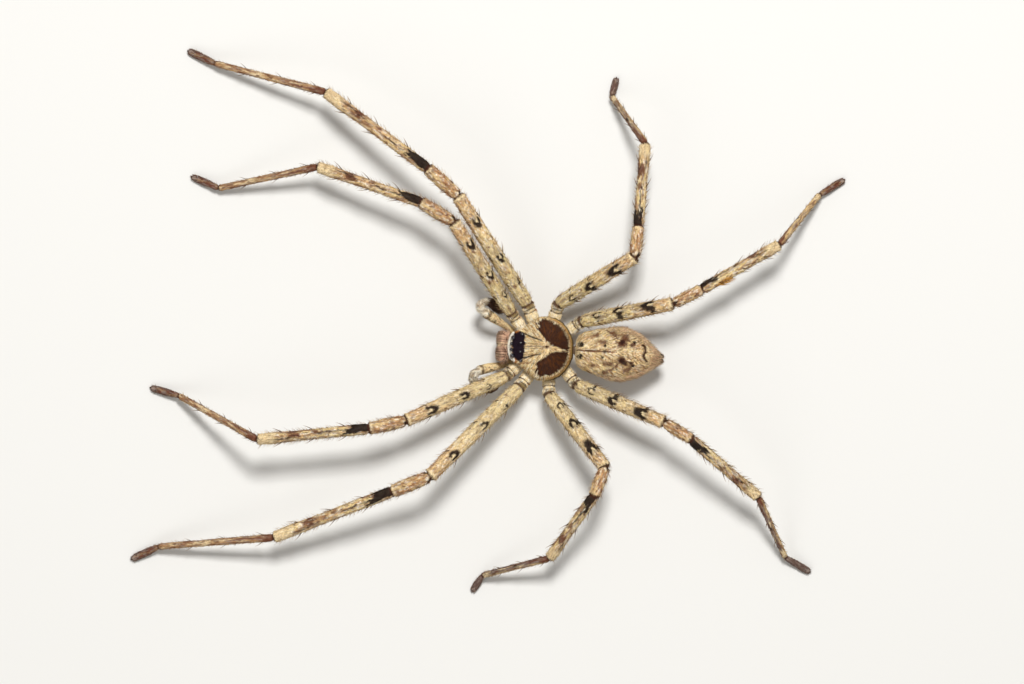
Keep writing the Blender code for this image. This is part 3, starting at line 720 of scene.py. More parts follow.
def cut_joints(halves, segments):
    """Cuts the necks and flares the rims, then closes both ends."""
    travelled = np.arange(len(halves)) * RING_STEP
    for index, (neck, rim) in enumerate(JOINTS):
        gap = travelled - travelled[segments == index + 1][0]
        halves *= 1 - neck * np.exp(-((gap / NECK_WIDTH) ** 2))
        halves *= 1 + rim * np.exp(-(((gap + RIM_PLACE) / RIM_WIDTH) ** 2))
    halves *= round_end(1 - (travelled[-1] - travelled) / halves[-1])
    halves[0] = 0.0


def leg_frame(name):
    """The leg's shape, and for each of its rings the segment and the place along it."""
    sign, pair = (1 if name[0] == "L" else -1), int(name[1])
    centres, halves, segments, shares, lengths = segment_rings(name)
    centres = soften(centres, 7)
    halves = soften(halves, 2) - COAT_DEPTH
    cut_joints(halves, segments)
    return SimpleNamespace(
        name=name,
        sign=sign,
        foreleg=pair < 3,
        fore_right=pair < 3 and sign < 0,
        roll=LEGS[name][3],
        shape=limb(centres, halves, sign, LEG_SQUARENESS),
        rows=len(centres) - 1,
        centres=centres,
        halves=halves,
        segments=segments,
        shares=shares,
        lengths=lengths,
    )


legs = {name: leg_frame(name) for name in LEGS}
print("rings", {name: leg.rows + 1 for name, leg in legs.items()})

# %% [markdown]
# ## Legs: their markings
# A mark is placed by its distance along the segment and round it from the top line, both in
# millimetres. So the painter first finds out where on the leg each point lies. It also makes a
# few kinds of noise, stretched along the leg because the hairs lie that way.

# %% Find where a point lies on a leg
def ring_of(leg, v):
    return np.clip(np.rint(v * leg.rows).astype(int), 0, leg.rows)


def look_up(leg, u, v, places):
    at = ring_of(leg, v)
    segment, share, length = leg.segments[at], leg.shares[at], leg.lengths[at]
    half = np.maximum(leg.halves[at], 0.2)
    turn = (360 * (u - 0.5) - leg.roll + 180) % 360 - 180
    tug = np.stack([noise(places * 3.1, seed) for seed in (1, 2)], axis=1) - 0.5
    along = share * length + tug[:, 0] * 0.34
    round_it = np.radians(turn) * half + tug[:, 1] * 0.22
    rolled = np.c_[along * 0.8, round_it * 5.0, segment * 9.7]
    streaks, fine = noise(rolled, 5), noise(rolled * (2.2, 1.6, 1.0), 6)
    here = SimpleNamespace(
        leg=leg,
        places=places,
        share=share,
        length=length,
        near=share * length,
        far=(1 - share) * length,
        half=half,
        turn=turn,
        height=np.cos(np.radians(360 * (u - 0.5))),
        a=along,
        b=round_it,
        segment=segment,
        rolled=rolled,
        streaks=streaks,
        fine=fine,
        dark=noise(rolled * (1.8, 1.3, 1.0), 7),
        wide=noise(rolled * (0.6, 0.35, 1.0), 8),
        ragged=(fine - 0.5) * 0.13 + (streaks - 0.5) * 0.09 + round_it * 0.03 * leg.sign,
        facing=-1 if leg.fore_right else 1,  # the side that carries the tibia's marks
    )
    for index, name in enumerate(SEGMENTS):
        setattr(here, name, (segment == index).astype(float))
    here.hip = here.coxa + here.trochanter
    here.shank = here.femur + here.patella + here.tibia
    return here


# %% [markdown]
# The ground is cream, darker underneath, with strokes of pale, sage, pinkish and dark hair. The
# patella and the far half of the femur are the pinkest, and small dark pores lie all over.

# %% Lay the legs' ground
def ground_layers(here):
    edge = ramp(np.abs(here.turn), 38, 75)
    pinker = here.femur * (0.30 + 0.70 * here.share) + here.tibia
    pores = noise(here.places * 3.4, 33) * 0.7 + noise(here.places * 7, 34) * 0.3
    gaps = noise(here.rolled * (2.6, 2.4, 1), 3)
    shadows = noise(here.rolled * (1.1, 1.2, 1), 4)
    return (
        (UNDERSIDE, ramp(-here.height, 0.15, 0.8) * 0.8),
        (PALE, here.hip * 0.7 + ramp(here.wide, 0.5, 0.75) * here.shank * 0.45),
        (PINK_TAN, here.femur * ramp(here.share, 0.45, 0.95) * (0.25 + 0.75 * here.streaks) * 0.70),
        (PINK_TAN, here.patella * (0.30 + 0.70 * ramp(here.streaks, 0.35, 0.65)) * 0.9),
        (SAGE, here.femur * ramp(here.share, 0.80, 0.35) * 0.45),
        (PINK_TAN, pinker * ramp(here.streaks, 0.46, 0.66) * 0.60),
        (WHITE, (here.shank + here.hip) * ramp(gaps, 0.44, 0.24) * 0.65),
        (RED_BROWN, (here.shank + here.hip * 0.5) * ramp(here.dark, 0.60, 0.72) * (0.50 + 0.30 * edge)),
        (GREY, (here.femur + here.tibia) * ramp(shadows, 0.60, 0.76) * 0.45),
        (RED_BROWN, (here.patella + here.tibia) * ramp(here.streaks, 0.66, 0.82) * 0.45),
        (PALE, (here.femur + here.patella * 0.4) * ramp(here.far, 0.80, 0.45) * 0.8),
        # Painted light: on the left legs only, the near part of each femur is painted paler, for the
        # brighter light that falls on that side.
        (PALE, here.femur * (here.leg.sign > 0) * ramp(here.share, 1.0, 0.6) * 0.30),
        (PINK_TAN, here.tibia * here.leg.fore_right * 0.20),
        (RED_BROWN, here.shank * ramp(pores, 0.70, 0.77) * 0.8),
    )


# %% [markdown]
# The femur has three spine marks, larger toward the knee: a dark horseshoe that is open toward
# the foot, smeared toward the body, with the pale base of a spine inside it and a second spot
# beside it. Two dots lie just behind the knee. The hind legs' marks are broader.

# %% Mark the femora
FORE_MARKS = {  # reach as a share of the segment, side in degrees from its top, then the sizes
    "horseshoes": (  # size, line and smear
        (0.20, -32, 0.26, 0.16, 0.0),
        (0.43, -17, 0.34, 0.26, 0.24),
        (0.76, -15, 0.36, 0.40, 0.40),
    ),
    "femur_spots": (  # length and width
        (0.44, -84, 0.8, 0.6), (0.79, -80, 0.6, 0.5), (0.22, 62, 0.5, 0.3), (0.46, 66, 0.6, 0.4),
    ),
    "patella_spots": ((0.05, -42, 0.7, 0.75), (0.06, 60, 0.5, 0.55)),
    "band_end": 0.19,
    "ruddy_foot": 0.85,
    "dusk": 0.15,
}
HIND_MARKS = {
    "horseshoes": (
        (0.20, -18, 0.38, 0.17, 0.0),
        (0.44, -14, 0.40, 0.28, 0.20),
        (0.765, -12, 0.42, 0.48, 0.58),
    ),
    "femur_spots": (
        (0.20, -66, 0.5, 0.5), (0.44, -64, 1.0, 0.95), (0.79, -75, 0.8, 0.6), (0.02, -20, 0.5, 0.4),
    ),
    "patella_spots": ((0.05, -50, 0.8, 0.75), (0.06, 55, 0.5, 0.4)),
    "band_end": 0.18,
    "ruddy_foot": 0.12,
    "dusk": 0.90,
}


def horseshoe(a, b, at, size, line, smear):
    """A dark ring open toward the foot, smeared toward the body, and the pale bump inside it."""
    a, b = (a - at[0]) / 1.3, b - at[1]
    distance, toward = np.hypot(a, b), np.arctan2(b, a)
    opened = 1 - 0.85 * ramp(np.cos(toward), 0.72, 0.95)
    ring = (1 - ramp(np.abs(distance - size), line * 0.55, line)) * opened
    near = 1 - ramp(np.hypot((a + size) / 1.1, b), size * 0.4 + smear * 0.5, size * 0.6 + smear)
    inside = 1 - ramp(distance, size * 0.40, size * 0.62)
    return np.maximum(ring, near * (smear > 0)) * (1 - inside), inside


def spot(a, b, at, length, width):
    return 1 - ramp(np.hypot((a - at[0]) / length, (b - at[1]) / width), 0.35, 0.55)


def femur_layers(here, marks):
    layers = []
    for reach, side, size, line, smear in marks["horseshoes"]:
        at = (reach * here.length, np.radians(side) * here.half)
        mark, inside = horseshoe(here.a, here.b, at, size, line, smear)
        layers.append((BLACK_BROWN, here.femur * mark * 0.97))
        layers.append((PALE, here.femur * inside * 0.8))
    spotted = (("femur_spots", here.femur, 0.92), ("patella_spots", here.patella, 0.95))
    for spots, segment, strength in spotted:
        for reach, side, length, width in marks[spots]:
            at = (reach * here.length, np.radians(side) * here.half)
            layers.append((BLACK_BROWN, segment * spot(here.a, here.b, at, length, width) * strength))
    return layers


# %% [markdown]
# The tibia starts in a black band, which leaves one side of the leg pale. Behind it come a thin
# streak and a reddish zone, and the end is pale. On one hind leg an amber patch lies underneath,
# where a tuft of amber hair hangs.

# %% Band the tibiae
BAND_TURN = 30  # degrees from the top to the band's middle
BAND_REACH = 66  # degrees from there to its ends
AMBER_LEG, AMBER_PLACE = "R4", 0.27


def tibia_layers(here, marks):
    a, b, share, length, tibia = here.a, here.b, here.share, here.length, here.tibia
    band = ramp(share + here.ragged, marks["band_end"] + 0.02, marks["band_end"] - 0.02)
    off_middle = np.abs(here.turn - BAND_TURN * here.facing) + (here.streaks - 0.5) * 45
    band = tibia * band * ramp(off_middle, BAND_REACH + 10, BAND_REACH - 4)
    streak = ramp(np.abs(b - 0.05), 0.15, 0.06) * ramp(share, 0.18, 0.26) * ramp(share, 0.52, 0.44)
    ruddy = ramp(np.abs(share - 0.68) + here.ragged * 0.8, 0.075, 0.03)
    ruddy = ruddy * ramp(here.turn * here.facing, -50, -5)
    second = spot(a, b, (0.48 * length, 0.35 * here.facing), 1.3, 0.5)
    thin = ramp(np.abs(b + 0.35), 0.16, 0.07) * ramp(share, 0.68, 0.73) * ramp(share, 0.90, 0.84)
    amber = spot(a, b, (AMBER_PLACE * length, -1.35), 3.0, 1.3) * (here.leg.name == AMBER_LEG)
    return (
        (BLACK_BROWN, band * 0.97),
        (BLACK_BROWN, tibia * streak * ramp(here.fine, 0.25, 0.45) * 0.8),
        (RED_BROWN, tibia * ruddy * 0.9),
        (BLACK_BROWN, tibia * ruddy * ramp(here.fine, 0.4, 0.6) * 0.6),
        (RED_BROWN, tibia * second * 0.8),
        (BLACK_BROWN, tibia * thin * 0.65),
        (PALE, tibia * ramp(share, 0.80, 0.88) * 0.65),
        (AMBER, tibia * amber * 0.9),
    )


# %% [markdown]
# The metatarsi are mottled with red-brown on the forelegs, and greyer with dark marks on the
# hind legs. The tarsi are the darkest part of every leg, and end in grey.

# %% Darken the feet
def foot_layers(here, marks):
    metatarsus, tarsus, share = here.metatarsus, here.tarsus, here.share
    mottle = noise(np.c_[here.a * 0.75, here.b * 2.2, here.segment], 9)
    ruddy = marks["ruddy_foot"] * (0.42 + 0.58 * ramp(mottle, 0.30, 0.55))
    plainer = 1 - marks["ruddy_foot"]
    # The dusky tone is heavier on the left legs' feet than on the right legs'; that difference is painted
    # shade.
    dusk = marks["dusk"] * (1.1 if here.leg.sign > 0 else 0.85) * (here.leg.name != AMBER_LEG)
    shadows = noise(here.rolled * (1.3, 1.4, 1), 12)
    streak = ramp(np.abs(here.b - 0.12), 0.17, 0.06) * ramp(share, 0.04, 0.1) * ramp(share, 0.36, 0.26)
    middle = spot(here.a, here.b, (0.49 * here.length, 0.2), 0.9, 0.55)
    side = ramp(here.turn, 25, 60) * plainer * ramp(here.wide, 0.3, 0.5)
    return (
        (RED_BROWN, metatarsus * ruddy * ramp(here.turn, -95, -40) * 0.92),
        (PINK_TAN, metatarsus * (0.50 if here.leg.foreleg else 0.35)),
        (DUSK, metatarsus * dusk * ramp(here.turn * here.facing, -70, 10)),
        (GREY, metatarsus * ramp(shadows, 0.42, 0.60) * 0.75),
        (PALE, metatarsus * ramp(here.streaks, 0.56, 0.72) * 0.6),
        (RED_BROWN, metatarsus * ramp(here.dark, 0.54, 0.68) * 0.7),
        (RED_BROWN, metatarsus * ramp(share + here.ragged, 0.15, 0.04) * 0.85),
        (RED_BROWN, metatarsus * streak * 0.85),
        (BLACK_BROWN, metatarsus * middle * plainer * 0.9),
        (RED_BROWN, metatarsus * side * 0.7),
        (RED_BROWN, tarsus * (0.80 + 0.2 * ramp(here.streaks, 0.4, 0.6))),
        (DUSK, tarsus * dusk * 0.8),
        (GREY, tarsus * ramp(here.fine, 0.50, 0.70) * 0.7),
        (GREY, tarsus * ramp(share, 0.78, 0.92) * 0.85),
    )


# %% [markdown]
# A dark line runs round the neck of each joint. The hip has an olive fold of membrane on top and
# a black crease behind it, and the forelegs' hips are orange at the rear.

# %% Line the joints
FOLD_TURN = -15  # degrees from the top to the middle of the hip's fold


def joint_layers(here):
    gap = np.minimum(here.near, here.far) + 0.4 * here.coxa * (here.share < 0.5)
    aside = np.abs(here.turn - FOLD_TURN)
    fold = here.trochanter * ramp(here.far, 0.46, 0.36) * ramp(aside, 46, 30)
    crease = ramp(np.abs(here.far - 0.50 + 0.15 * np.cos(here.b * 2.2)), 0.13, 0.05) * ramp(aside, 70, 50)
    rear = ramp(-here.turn, 30, 70) * here.leg.foreleg
    return (
        (WHITE, here.hip * ramp(here.fine, 0.55, 0.35) * 0.5),
        (PATCH_BROWN, ramp(gap, 0.22, 0.10) * 0.9),
        (OLIVE, fold * (0.85 if here.leg.foreleg else 0.25)),
        (BLACK_BROWN, here.trochanter * crease * 0.8),
        (ORANGE, here.hip * rear * ramp(gap, 0.55, 0.15) * ramp(here.wide, 0.3, 0.5) * 0.8),
    )


# %% Roll and paint the legs
LEG_COLUMNS = 30
LEG_NODES = ("coxa", "femur", "tibia", "metatarsus", "tarsus")


def leg_painter(leg):
    marks = FORE_MARKS if leg.foreleg else HIND_MARKS

    def painter(u, v, places):
        here = look_up(leg, u, v, places)
        coat = lay(evenly(CREAM, len(u)), *ground_layers(here), *femur_layers(here, marks))
        return lay(coat, *tibia_layers(here, marks), *foot_layers(here, marks), *joint_layers(here))

    return painter


for name, leg in legs.items():
    leg.painter = leg_painter(leg)
    nodes = [f"leg_{name}_{part}" for part in LEG_NODES]
    skin_piece(f"leg_{name}_skin", leg.shape, leg.rows, LEG_COLUMNS, leg.painter, "legs", *nodes)
print("legs", len(legs))

# %% [markdown]
# ## Legs: spines
# The spines stand in rows, three at each station of the femur and four at each of the tibia,
# and lean toward the foot. They are glossy, dark at the root and clear amber at the tip. One
# that would run into the next leg is turned toward the top until it is clear, or left out.

# %% Find a place for each spine
SPINE_ROWS = (  # segment, shares of it, turns from its top, length, root width, whether pale
    ("femur", (0.20, 0.44, 0.77), (-18,), 0.95, 0.24, True),
    ("femur", (0.20, 0.44, 0.77), (50, -84), 1.7, 0.15, False),
    ("patella", (0.30,), (-75, 75), 1.0, 0.10, False),
    ("tibia", (0.22, 0.50, 0.78), (72, -72, 150, -150), 1.9, 0.15, False),
    ("metatarsus", (0.10, 0.42, 0.72), (78, -78, 150, -150), 1.35, 0.12, False),
)
SPINE_LEAN = 32.0  # degrees off the skin
SPINE_ROOM = 0.15
HIND_SPINES = 0.92  # the hind legs' spines are a little shorter
TURN_TRIES = (1.0, 0.7, 0.4)  # shares of its turn at which a spine is tried


def is_clear(tip, name):
    """Whether a spine's tip keeps off every other leg and the floor."""
    for other, leg in legs.items():
        gap = np.linalg.norm(leg.centres - tip, axis=1) - leg.halves
        if other != name and gap.min() < SPINE_ROOM:
            return False
    return tip[2] > SPINE_ROOM


def place_spine(leg, draw, v, turn, size):
    """The spine's place, its outward and along directions and its u and v, or None."""
    lean = math.radians(SPINE_LEAN)
    for share in TURN_TRIES:
        u = 0.5 + (turn * share + leg.roll + draw.uniform(-4, 4)) / 360
        place, outward, along = (row[0] for row in leg.shape(np.array([u]), np.array([v]), True))
        tip = place + (outward * math.sin(lean) + along * math.cos(lean)) * size
        if is_clear(tip, leg.name):
            return (*place, *outward, *along, u, v)
    return None


def find_spines(leg):
    """A row for each spine: what place_spine gives, then its size, width and whether it is pale."""
    draw = np.random.default_rng(int.from_bytes(leg.name.encode(), "big"))
    found = []
    for segment, shares, turns, length, width, pale in SPINE_ROWS:
        rings = np.flatnonzero(leg.segments == SEGMENTS.index(segment))
        for share in shares:
            for turn in turns:
                size = length * draw.uniform(0.85, 1.12) * (1.0 if leg.foreleg else HIND_SPINES)
                v = rings[int((share + draw.uniform(-0.012, 0.012)) * len(rings))] / leg.rows
                spine = place_spine(leg, draw, v, turn, size)
                if spine:
                    found.append((*spine, size, width, pale))
    return np.array(found)


# %% Set the spines
SPINE_ROOT = np.array((0.030, 0.013, 0.008))
SPINE_TIP = np.array((0.30, 0.17, 0.085))
SPINE_LIFTS = (SPINE_LEAN + 8, SPINE_LEAN - 14)


def set_spines(leg):
    found = find_spines(leg)
    place, outward, along, u, v, size, width, pale = np.split(found, (3, 6, 9, 10, 11, 12, 13), axis=1)
    roots = SimpleNamespace(place=place, normal=outward, u=u[:, 0], v=v[:, 0], count=len(found))

    def colours(share):
        dark = SPINE_ROOT + (SPINE_TIP - SPINE_ROOT) * min(1.0, share * 1.1) ** 1.5
        return np.where(pale > 0.5, np.array(PALE) * (1 - 0.35 * share), dark)

    spines = grow(
        f"leg_{leg.name}_spines", roots, along, SPINE_LIFTS, size[:, 0], width[:, 0], colours,
        sides=8, rings=7, sink=0.12, tip=0.06,
    )
    finish(spines, spine_finish, "legs")
    return roots.count


print("spines", {name: set_spines(leg) for name, leg in legs.items()})

# %% [markdown]
# ## Legs: coat
# The short coat lies flat along each leg, points to the foot and thins out at the joints. Every
# hair takes the skin's colour, a little varied, and a few hairs are clearly paler or darker. A
# hair shows most at its middle, so it takes the colour that the skin has there.

# %% Vary and comb hair
DARK_HAIRS, PALE_HAIRS = 0.12, 0.16  # shares of the coat
TONE_SPREAD = 0.20


def varied(colours, draw):
    """Each hair a little lighter or darker, and a few of them clearly so."""
    colours = colours * draw.uniform(1 - TONE_SPREAD, 1 + TONE_SPREAD, (len(colours), 1))
    pick = draw.random(len(colours))
    light = colours[:, 0] > 0.3
    colours = paint(colours, PALE, (pick < PALE_HAIRS) * 0.35 * light)
    colours = paint(colours, RED_BROWN, (pick > 1 - DARK_HAIRS) * 0.65 * light)
    return np.clip(colours, 0, 1)


def sway(roots, amount):
    """The lie of the coat, turned a little to either side for each hair."""
    across = np.cross(roots.normal, roots.along)
    return roots.along + across * roots.draw.normal(0, amount, roots.count)[:, None]


# %% Grow the legs' coat
LEG_HAIRS = 10500
COAT_SEED = 10
LOOSE_HAIRS = 0.13  # the share of the coat that stands up more
HAIR_MIDDLE = 0.45
FOOT_SEGMENTS = SEGMENTS.index("metatarsus")  # from here on the hair is shorter


def coat_leg(leg, seed):
    def between_joints(u, v, place):
        at = ring_of(leg, v)
        gap = np.minimum(leg.shares[at], 1 - leg.shares[at]) * leg.lengths[at]
        return ramp(gap, 0.08, 0.26) + 0.02

    roots = sow(leg.shape, LEG_HAIRS, seed, between_joints, rows=leg.rows, columns=LEG_COLUMNS)
    feet = leg.segments[ring_of(leg, roots.v)] >= FOOT_SEGMENTS
    length = roots.draw.uniform(0.26, 0.50, roots.count) * np.where(feet, 0.8, 1.0)
    middle = roots.place + roots.along * length[:, None] * HAIR_MIDDLE
    reach = np.clip(roots.v + length * HAIR_MIDDLE / RING_STEP / leg.rows, 0, 1)
    colours = varied(leg.painter(roots.u, reach, middle), roots.draw)
    loose = roots.draw.random(roots.count) < LOOSE_HAIRS
    lift = roots.draw.uniform(10, 30, roots.count) + loose * 26
    length = length + loose * 0.15
    lie, name = sway(roots, 0.16), f"leg_{leg.name}_coat"
    return hair_piece(name, "legs", roots, lie, (lift, lift * 0.25), length, 0.085, colours)


print("coat", sum(coat_leg(leg, seed) for seed, leg in enumerate(legs.values(), COAT_SEED)), "hairs")

# %% [markdown]
# Along the sides and underneath, a sparse fringe of longer, paler hairs stands out. It is left
# open enough to see through, and no hair reaches through the floor. Under one hind tibia the
# fringe is amber, and as dense as a small tuft.

# %% Hang the legs' fringe
FRINGE_HAIRS = 1200
FRINGE_SEED = 60
FRINGE_SIDE = 0.20  # how far round from the top the fringe starts, in turns
TUFT_REACH = 0.08  # the amber tuft's half length, as a share of the tibia


def fringe_leg(leg, seed):
    def amber_zone(u, v):
        at = ring_of(leg, v)
        on_tibia = leg.segments[at] == SEGMENTS.index("tibia")
        inside = on_tibia * (np.abs(leg.shares[at] - AMBER_PLACE) < TUFT_REACH)
        return inside * (u < 0.5) * (leg.name == AMBER_LEG)

    def underneath(u, v, place):
        part = leg.segments[ring_of(leg, v)]
        zone = (np.abs(u - 0.5) > FRINGE_SIDE) * (part >= SEGMENTS.index("femur"))
        return zone * (0.4 + 0.6 * (part <= FOOT_SEGMENTS)) * (1 + 8 * amber_zone(u, v))

    roots = sow(leg.shape, FRINGE_HAIRS, seed, underneath, rows=leg.rows, columns=LEG_COLUMNS)
    feet = leg.segments[ring_of(leg, roots.v)] >= FOOT_SEGMENTS
    length = roots.draw.uniform(0.5, 1.35, roots.count) * np.where(feet, 0.6, 1.0)
    room = np.maximum(roots.place[:, 2] - 0.1, 0.1)
    lift = roots.draw.uniform(40, 75, roots.count)
    length = np.minimum(length, room / np.maximum(-roots.normal[:, 2], 0.15))
    tone = roots.draw.random(roots.count)
    colours = lay(
        evenly(np.array(PINK_TAN) * 0.5, roots.count),
        (PALE, ramp(tone, 0.4, 0.8) * 0.8),
        (np.array(AMBER) * 1.2, amber_zone(roots.u, roots.v) * 0.9),
    )
    lie, name = sway(roots, 0.3), f"leg_{leg.name}_fringe"
    return hair_piece(name, "legs", roots, lie, (lift, lift * 0.5), length, 0.060, colours)


print("fringe", sum(fringe_leg(leg, seed) for seed, leg in enumerate(legs.values(), FRINGE_SEED)), "hairs")

# %% [markdown]
# Each foot has a dense dark pad of hair round its end, which lets the spider walk on glass.

# %% Pad the feet
PAD_HAIRS = 620
PAD_SEED = 90
PAD_SIDE = 0.12


def pad_foot(leg, seed):
    def under_foot(u, v, place):
        on_tarsus = leg.segments[ring_of(leg, v)] == SEGMENTS.index("tarsus")
        return on_tarsus * (np.abs(u - 0.5) > PAD_SIDE) * ramp(v, 0.93, 0.99)

    roots = sow(leg.shape, PAD_HAIRS, seed, under_foot, rows=leg.rows, columns=LEG_COLUMNS)
    room = np.maximum(roots.place[:, 2] - 0.01, 0.08)
    length = np.minimum(roots.draw.uniform(0.25, 0.48, roots.count), room)
    tone = roots.draw.random(roots.count)
    colours = varied(paint(evenly(GREY, roots.count), RED_BROWN, tone), roots.draw)
    name = f"leg_{leg.name}_pad"
    return hair_piece(name, "tarsi", roots, sway(roots, 0.3), (45, 20), length, 0.06, colours)


print("pads", sum(pad_foot(leg, seed) for seed, leg in enumerate(legs.values(), PAD_SEED)), "hairs")

# %% [markdown]
# ## Claws
# Each foot ends in a pair of small black hooks, half hidden in its hair. They are horn, so they
# are pieces of their own, made like the spines but bent through nearly a quarter turn.

# %% Hook the claws
CLAW_LENGTH = 0.52
CLAW_WIDTH = 0.13
CLAW_LIFTS = (40, -38)
CLAW_U = np.array([0.42, 0.58])
CLAW_V = np.array([0.985, 0.985])
for name, leg in legs.items():
    place, outward, along = leg.shape(CLAW_U, CLAW_V, True)
    roots = SimpleNamespace(place=place, normal=outward, count=2, u=CLAW_U, v=CLAW_V)
    claws = grow(
        f"leg_{name}_claws", roots, along, CLAW_LIFTS, CLAW_LENGTH, CLAW_WIDTH,
        evenly(BLACK_BROWN, 2), sides=8, rings=8, sink=0.2, tip=0.05,
    )
    finish(claws, horn_finish, "tarsi")
print("claws", 2 * len(legs))

# %% [markdown]
# ## Front of the body
# The shield over the front body is a low dome, drawn in to a narrow face. Its profile comes
# from the same stations as the solid's: half width and rise, from front to back. Seven tenths
# of the grid's columns go to the roof, because it carries the markings. The relief is pressed
# into it: the pit in the middle, two grooves that part the head, and faint spokes.

# %% Press the shield's relief
PIT = (-0.25, 0.55)  # lines and spots on the shield lie out to its left and back from its centre
PIT_SIZE = (0.16, 0.34)
HEAD_GROOVES = (
    ((-2.19, -3.33), (-1.84, -2.5), (-1.54, -1.68), (-1.17, -0.34)),
    ((1.61, -3.19), (1.46, -2.4), (1.11, -1.52), (0.84, -0.32)),
)
GROOVE_WIDTH = 0.20
PIT_DEPTH, GROOVE_DEPTH, SPOKE_HEIGHT = 0.16, 0.09, 0.035
SPOKES = 9


def line_gap(out, back, line):
    """Distance from each point to a bent line."""
    least = np.full(len(out), 99.0)
    for (x0, y0), (x1, y1) in zip(line, line[1:]):
        dx, dy = x1 - x0, y1 - y0
        share = np.clip(((out - x0) * dx + (back - y0) * dy) / (dx * dx + dy * dy), 0, 1)
        least = np.minimum(least, np.hypot(out - x0 - dx * share, back - y0 - dy * share))
    return least


def shield_relief(out, back):
    """How far the roof is pressed in at each point."""
    off_pit = np.hypot((out - PIT[0]) / PIT_SIZE[0], (back - PIT[1]) / PIT_SIZE[1])
    pit = np.exp(-(off_pit**2)) * PIT_DEPTH
    gaps = [line_gap(out, back, line) for line in HEAD_GROOVES]
    grooves = sum(np.exp(-((gap / GROOVE_WIDTH) ** 2)) for gap in gaps) * GROOVE_DEPTH
    spokes = np.cos(SPOKES * np.arctan2(out - PIT[0], back - PIT[1])) * SPOKE_HEIGHT
    spokes = spokes * ramp(np.hypot(out, back - PIT[1]), 0.7, 1.8) * ramp(back, -1.5, 0.0)
    return pit + grooves - spokes


middle = np.array([PIT[0]]), np.array([PIT[1]])
print("the pit is", shield_relief(*middle).round(2)[0], "mm deep")

# %% Shape the shield
RIM_LOW, RIM_TOP = 5.3, 5.6
SHIELD_STATIONS = np.array([  # back, half width and rise
    (-4.50, 2.10, 0.80), (-4.15, 2.25, 1.15), (-3.40, 2.55, 1.40), (-2.60, 3.15, 1.60),
    (-1.70, 3.95, 1.80), (-0.70, 4.50, 1.98), (0.50, 4.66, 2.08), (1.60, 4.50, 2.05),
    (2.60, 3.95, 1.80), (3.40, 3.10, 1.35), (4.00, 2.10, 0.80), (4.33, 1.10, 0.30),
])
FACE_ROWS, REAR_ROWS = 0.045, 0.975  # shares of the rows where the face ends and the rear starts
ROOF_ROUNDING = 2.3
ROOF_SHARE = 0.7
FRONT_BOW, BOW_DEPTH = 0.32, 2.0
FACE_ROUNDING, BROW_SHARE = 0.24, 0.06


def face_and_rear(v):
    """How far the face, and how far the whole shield, has opened at each row."""
    face = np.clip(v / FACE_ROWS, 0, 1) * np.pi / 2
    rear = np.clip((v - REAR_ROWS) / (1 - REAR_ROWS), 0, 1) * np.pi / 2
    return 1 - np.cos(face), np.sin(face) * np.cos(rear)


def shield_shape(u, v):
    front, end = SHIELD_STATIONS[0, 0], SHIELD_STATIONS[-1, 0]
    table = refine(SHIELD_STATIONS, SHIELD_STATIONS[:, 0], np.linspace(front, end, 140))
    table = soften(table, 10)
    share = np.clip((v - FACE_ROWS) / (REAR_ROWS - FACE_ROWS), 0, 1)
    back = table[0, 0] + (table[-1, 0] - table[0, 0]) * share
    half = np.interp(back, table[:, 0], table[:, 1]) - COAT_DEPTH
    rise = np.interp(back, table[:, 0], table[:, 2]) - COAT_DEPTH
    opened, opening = face_and_rear(v)
    brow = (v >= FACE_ROWS) * (share < BROW_SHARE) * (1 - share / BROW_SHARE)
    back = back + FACE_ROUNDING * (v < FACE_ROWS) * opened + FACE_ROUNDING * brow
    half, middle = half * opening, RIM_TOP + rise * 0.3
    edge = (1 - ROOF_SHARE) / 2
    turn = np.pi * np.clip((u - edge) / ROOF_SHARE, 0, 1)
    across = -squared(np.cos(turn), ROOF_ROUNDING)
    level = RIM_TOP + rise * np.sin(turn) ** (2 / ROOF_ROUNDING)
    under = (u < edge) | (u > 1 - edge)
    across = np.where(under, 0.97 * np.where(u < 0.5, -u, 1 - u) / edge, across)
    level = np.where(under, RIM_LOW + 0.05, level)
    level = middle + (level - middle) * np.maximum(opening, 0.02)
    out = across * half
    fading = np.maximum(0, 1 - (back - front) / BOW_DEPTH)
    back = back - FRONT_BOW * fading * (1 - across**2) * (0.3 + 0.7 * opening)
    level = level - (~under) * np.sin(turn) * shield_relief(out, back)
    return np.stack([BODY_X + out, BODY_Y + back, level], axis=1)


# %% [markdown]
# Two dark brown patches lie behind the middle, each like a blunt wedge with its point at the
# rear. Their corners are given here, out and back from the shield's centre. A point's depth
# inside such an outline, disturbed by streaks that run out from the pit, gives the hairy edge.

# %% Outline the shield's patches
LEFTWARD_PATCH = (
    (0.20, 3.72), (1.30, 3.72), (2.30, 3.42), (3.05, 2.50), (3.72, 1.26), (4.10, 0.00),
    (3.85, -0.55), (3.25, -0.80), (2.75, -0.55), (2.28, -0.95), (1.95, -0.65), (1.50, 0.12),
    (0.68, 1.07), (0.42, 2.05), (0.35, 3.05),
)
RIGHTWARD_PATCH = (
    (-3.55, -1.15), (-4.15, -0.25), (-4.05, 0.85), (-3.60, 1.90), (-3.10, 2.75), (-2.50, 3.40),
    (-1.50, 3.75), (-0.20, 3.80), (0.15, 3.45), (-0.20, 2.95), (-0.35, 2.00), (-0.60, 1.20),
    (-1.25, 0.45), (-2.05, -0.30), (-2.65, -0.95), (-3.20, -0.72),
)
EYE_FIELD = (
    (-2.15, -4.25), (-2.30, -3.55), (-2.00, -2.90), (-1.45, -2.62), (-1.05, -2.78),
    (-0.60, -2.58), (-0.10, -2.72), (0.45, -2.55), (0.90, -2.80), (1.40, -2.68),
    (1.95, -3.30), (1.95, -3.95), (0.90, -4.36), (-0.22, -4.46), (-1.30, -4.42),
)
LEFT_EDGE = tuple((half, back) for back, half, _ in SHIELD_STATIONS)
SHIELD_OUTLINE = LEFT_EDGE + tuple((-half, back) for half, back in LEFT_EDGE[::-1])


